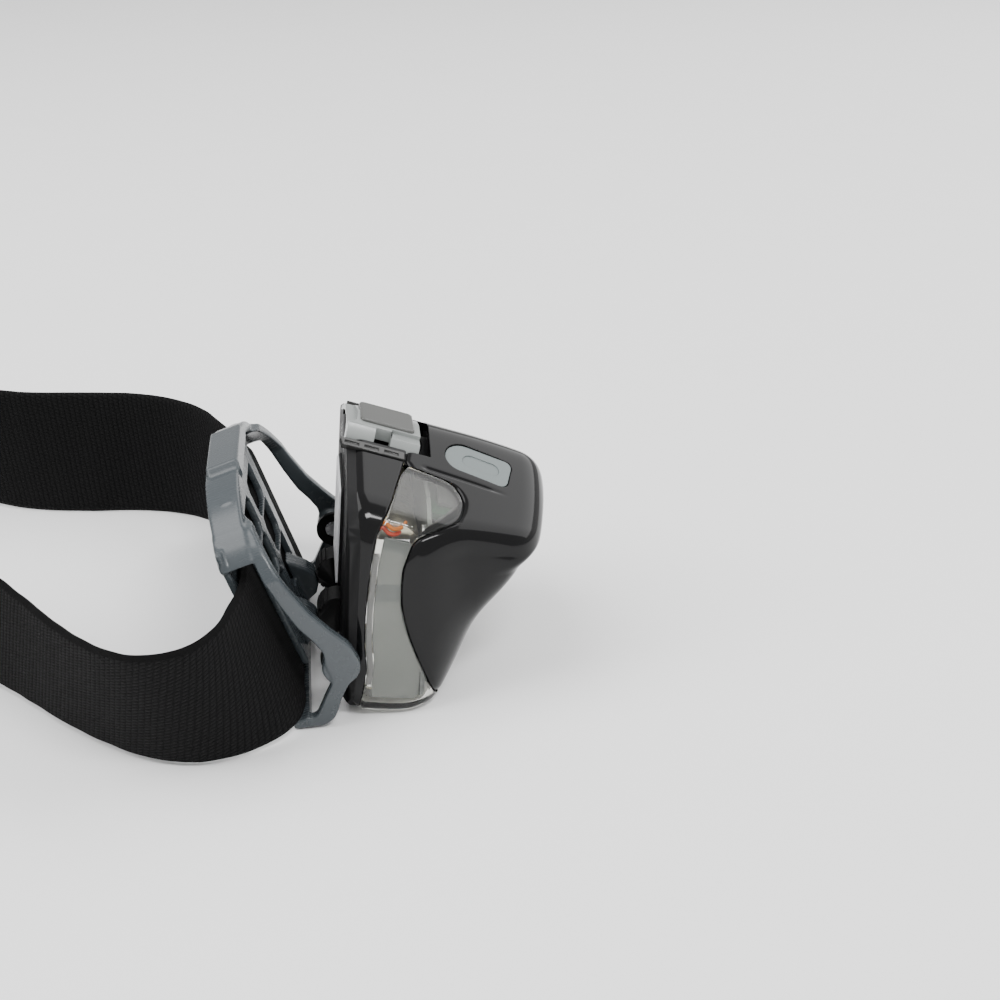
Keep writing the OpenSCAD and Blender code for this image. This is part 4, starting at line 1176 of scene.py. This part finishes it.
def bracket_mesh():
    step = 0.24
    o = np.array([-5.0, -30.6, -31.4])
    n_ = np.arange(o[0], 11.6, step)
    y_ = np.arange(o[1], 30.8, step)
    s_ = np.arange(o[2], 12.6, step)
    N_, Y_, S_ = n_[:, None, None], y_[None, :, None], s_[None, None, :]
    gy, gs = np.meshgrid(y_, s_, indexing="ij")
    gn, gs2 = np.meshgrid(n_, s_, indexing="ij")

    def yz(half, lo, hi, r):
        return slab(poly_distance(mirror_y(half), gy, gs)[None], N_, lo, hi, r)

    def arm(pts, lo, hi, r, blur=0.0):
        f2 = poly_distance(pts, gn, gs2)
        if blur:
            k_ = int(math.ceil(blur * 2.5 / step))
            wt = np.exp(-0.5 * (np.arange(-k_, k_ + 1) * step / blur) ** 2)
            wt /= wt.sum()
            for ax in (0, 1):
                pad = np.pad(f2, [(k_, k_) if q == ax else (0, 0) for q in (0, 1)], mode="edge")
                f2 = sum(wt[j] * np.take(pad, np.arange(j, j + f2.shape[ax]), axis=ax) for j in range(2 * k_ + 1))
        return slab(f2[:, None, :], np.abs(Y_), lo, hi, r)

    half = [(0, 10.2), (7, 10.05)] + bez((10.5, 9.8), (24.8, 7.6), (29.3, -2.5), 110)
    whole = poly_distance(mirror_y(half + [(29.35, -34), (0, -34)]), gy, gs)[None]
    side = [(2.6, 5), (2.8, 3.7), (3.4, 0.9), (4.6, -4.9), (6.1, -10.2), (8.0, -14.4), (9.7, -17.6), (10.1, -19.2), (9.9, -20.9), (8.7, -22.9),
            (6.6, -25.0), (4.9, -26.7), (3.8, -28.3), (2.6, -29.6), (0.6, -30.2), (-4, -28.7), (-4, -27.6), (0.1, -28.0), (2.7, -25.2), (5.0, -22.9),
            (4.9, -19.6), (5.4, -17.4), (4.6, -14.7), (3.4, -12.0), (2.4, -7.4), (1.6, -2.4), (1.2, 1.2), (-4, 1.2), (-4, 5)]
    d = slab(np.maximum(whole, 1.2 - S_), N_, -4, 2.0 - 0.012 * Y_ * Y_ * 0.1, 0.55)
    cav = -join(-(whole + 1.9), -(-1.3 - N_), 0.5)
    d = -join(-d, cav, 0.4)
    d = join(d, yz([(0, 11.2), (8.0, 11.15), (9.2, 9.8), (9.2, 8.2), (0, 8.3)], -3.4, 2.25, 0.45), 0.35)
    arms = -join(-arm(side, 18.0, 31.0, 0.5, 0.45), -np.maximum(whole, -(whole + 2.15)), 0.45)
    arms = np.maximum(arms, 19.0 - np.abs(Y_))
    drum = arm([(7 + 3.1 * math.cos(a_ * math.pi / 24), -21.4 + 3.1 * math.sin(a_ * math.pi / 24)) for a_ in range(48)], 26.3, 28.9, 0.25)
    arms = join(arms, drum, 0.5)
    arms = join(arms, arm([(-4, 1.2), (2.6, 1.2), (1.6, 6), (-4, 6)], 25.4, 29.2, 0.5), 0.8)
    arms = -join(-arms, -whole, 0.45)
    d = join(d, arms, 0.9)
    d = join(d, yz([(0, 4), (27.0, 4), (27.3, 0), (27.3, -6), (25.6, -12), (24.4, -28.3), (0, -28.3)], -4, -2.95, 0.3), 0.6)
    plate = yz([(0, 8), (17.5, 8), (16.8, -6), (15.6, -25.4), (0, -25.4)], -1.25, -0.05, 0.25)
    for k in range(3):
        hole = [(3.0, 2.0 - k * 7.4), (12.2, 2.0 - k * 7.4), (12.2, -3.4 - k * 7.4), (10.8, -4.6 - k * 7.4), (3.0, -4.6 - k * 7.4), (1.8, -3.4 - k * 7.4), (1.8, 0.8 - k * 7.4)]
        h2 = np.minimum(poly_distance(hole, gy, gs), poly_distance([(-y, z) for y, z in hole], gy, gs))[None] - 0.15
        plate = -join(-plate, np.maximum(h2, np.abs(N_ + 0.65) - 2), 0.35)
    d = join(d, plate, 0.6)
    d = join(d, arm([(-0.6, -15.5), (2.4, -18.6), (3.35, -20.2), (3.3, -22.2), (2.2, -23.8), (-0.6, -25)], 5.8, 10.2, 0.4), 0.5)
    d = join(d, slab(poly_distance([(-4, -27.6), (-1.2, -27.6), (-1.2, -29.2), (-4, -28.7)], gn, gs2)[:, None, :], Y_, -29.3, 29.3, 0.35), 0.6)
    bore = slab((np.hypot(gn - 7, gs2 + 21.4) - 1.63)[:, None, :], np.abs(Y_), 25.0, 28.35, 0.02)
    d = -join(-d, bore, 0.15)
    # nothing reaches past the CAD piece's own outer faces
    d = np.maximum(d, np.abs(Y_) - 29.38)
    return nets("tilt_bracket_moulding", d + np.zeros((len(n_), len(y_), len(s_))), o, step, brk, MAT["bracket"])


bracket = bracket_mesh()
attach(bracket, "bracket")
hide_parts("tilt_bracket")

# ---------------------------------------------------------------- carried-over CAD nodes
CAD = {
    "band_ring": ("fitting", 0.0004, 3), "band_slider": ("fitting", 0.0005, 3), 
    "pivot_pins": ("steel", 0.0002, 2), "door_pin": ("steel", 0, 0), "cells": ("cell", 0.0004, 2),
    "contact_springs": ("chrome", 0, 0), "contact_plates": ("chrome", 0, 0), 
    "inner_frame": ("frost", 0.0001, 2), "seam_gasket": ("rubber", 0, 0), "reflector": ("mirror", 0, 0), "main_led": ("emitter", 0.0001, 2),
    "led_board": ("board_white", 0.0001, 1), "heat_spreader": ("sink", 0.0001, 2), "aux_leds": ("led", 0, 0),
    "main_board": ("board", 0.00005, 1), "tact_switches": ("switch", 0.0001, 2), "button_membrane": ("membrane", 0, 0),
    "frame_screws": ("steel", 0.00005, 2), "near_button": ("button", 0.0003, 3),
    "far_button": ("button", 0.0003, 3), "latch_pin": ("steel", 0, 0),
}
for name, (mat, width, seg) in CAD.items():
    ob = nodes[name]
    ob.data.materials.clear()
    ob.data.materials.append(MAT[mat])
    if width:
        soften(ob, width, seg)
    else:
        for p in ob.data.polygons:
            p.use_smooth = False

# ---------------------------------------------------------------- stage and light
floor = make("floor", [(-3, -3, 0), (3, -3, 0), (3, 3, 0), (-3, 3, 0)], [(0, 1, 2, 3)], MAT["label"], recalc=False)
fm = Nodes("floor_paper")
fc = fm.coords()
fm.set(Base_Color=fm.mix(fm.noise(fc, 30, 3), rgb(0.93, 0.93, 0.93), rgb(0.95, 0.95, 0.95)), Roughness=0.7, Specular_IOR_Level=0.1)
floor.data.materials.clear()
floor.data.materials.append(fm.mat)
floor.location.z = -0.00005

w = bpy.data.worlds.new("studio")
bpy.context.scene.world = w
w.use_nodes = True
bg = w.node_tree.nodes["Background"]
bg.inputs[0].default_value = (1.0, 1.0, 1.0, 1.0)
bg.inputs[1].default_value = 0.8


def area(name, loc, target, size, power, size_y=None, color=(1, 1, 1)):
    d = bpy.data.lights.new(name, "AREA")
    d.energy = power
    d.size = size
    d.color = color
    if size_y:
        d.shape = "RECTANGLE"
        d.size_y = size_y
    o = bpy.data.objects.new(name, d)
    bpy.context.scene.collection.objects.link(o)
    o.location = loc
    o.rotation_mode = "QUATERNION"
    o.rotation_quaternion = (Vector(target) - Vector(loc)).to_track_quat("-Z", "Y")
    return o


area("key_box", (0.78, 0.44, 0.72), (0.07, 0, 0.02), 1.35, 9.5, 1.0)
area("top_box", (-0.45, -0.05, 1.1), (0.0, 0, 0.02), 0.9, 9.0, 0.7)
area("front_box", (0.32, -0.50, 0.80), (0.07, -0.02, 0.03), 0.36, 4.6, 0.13)
area("left_box", (-0.75, -0.20, 0.60), (0.0, 0, 0.02), 0.5, 4.0, 0.4)
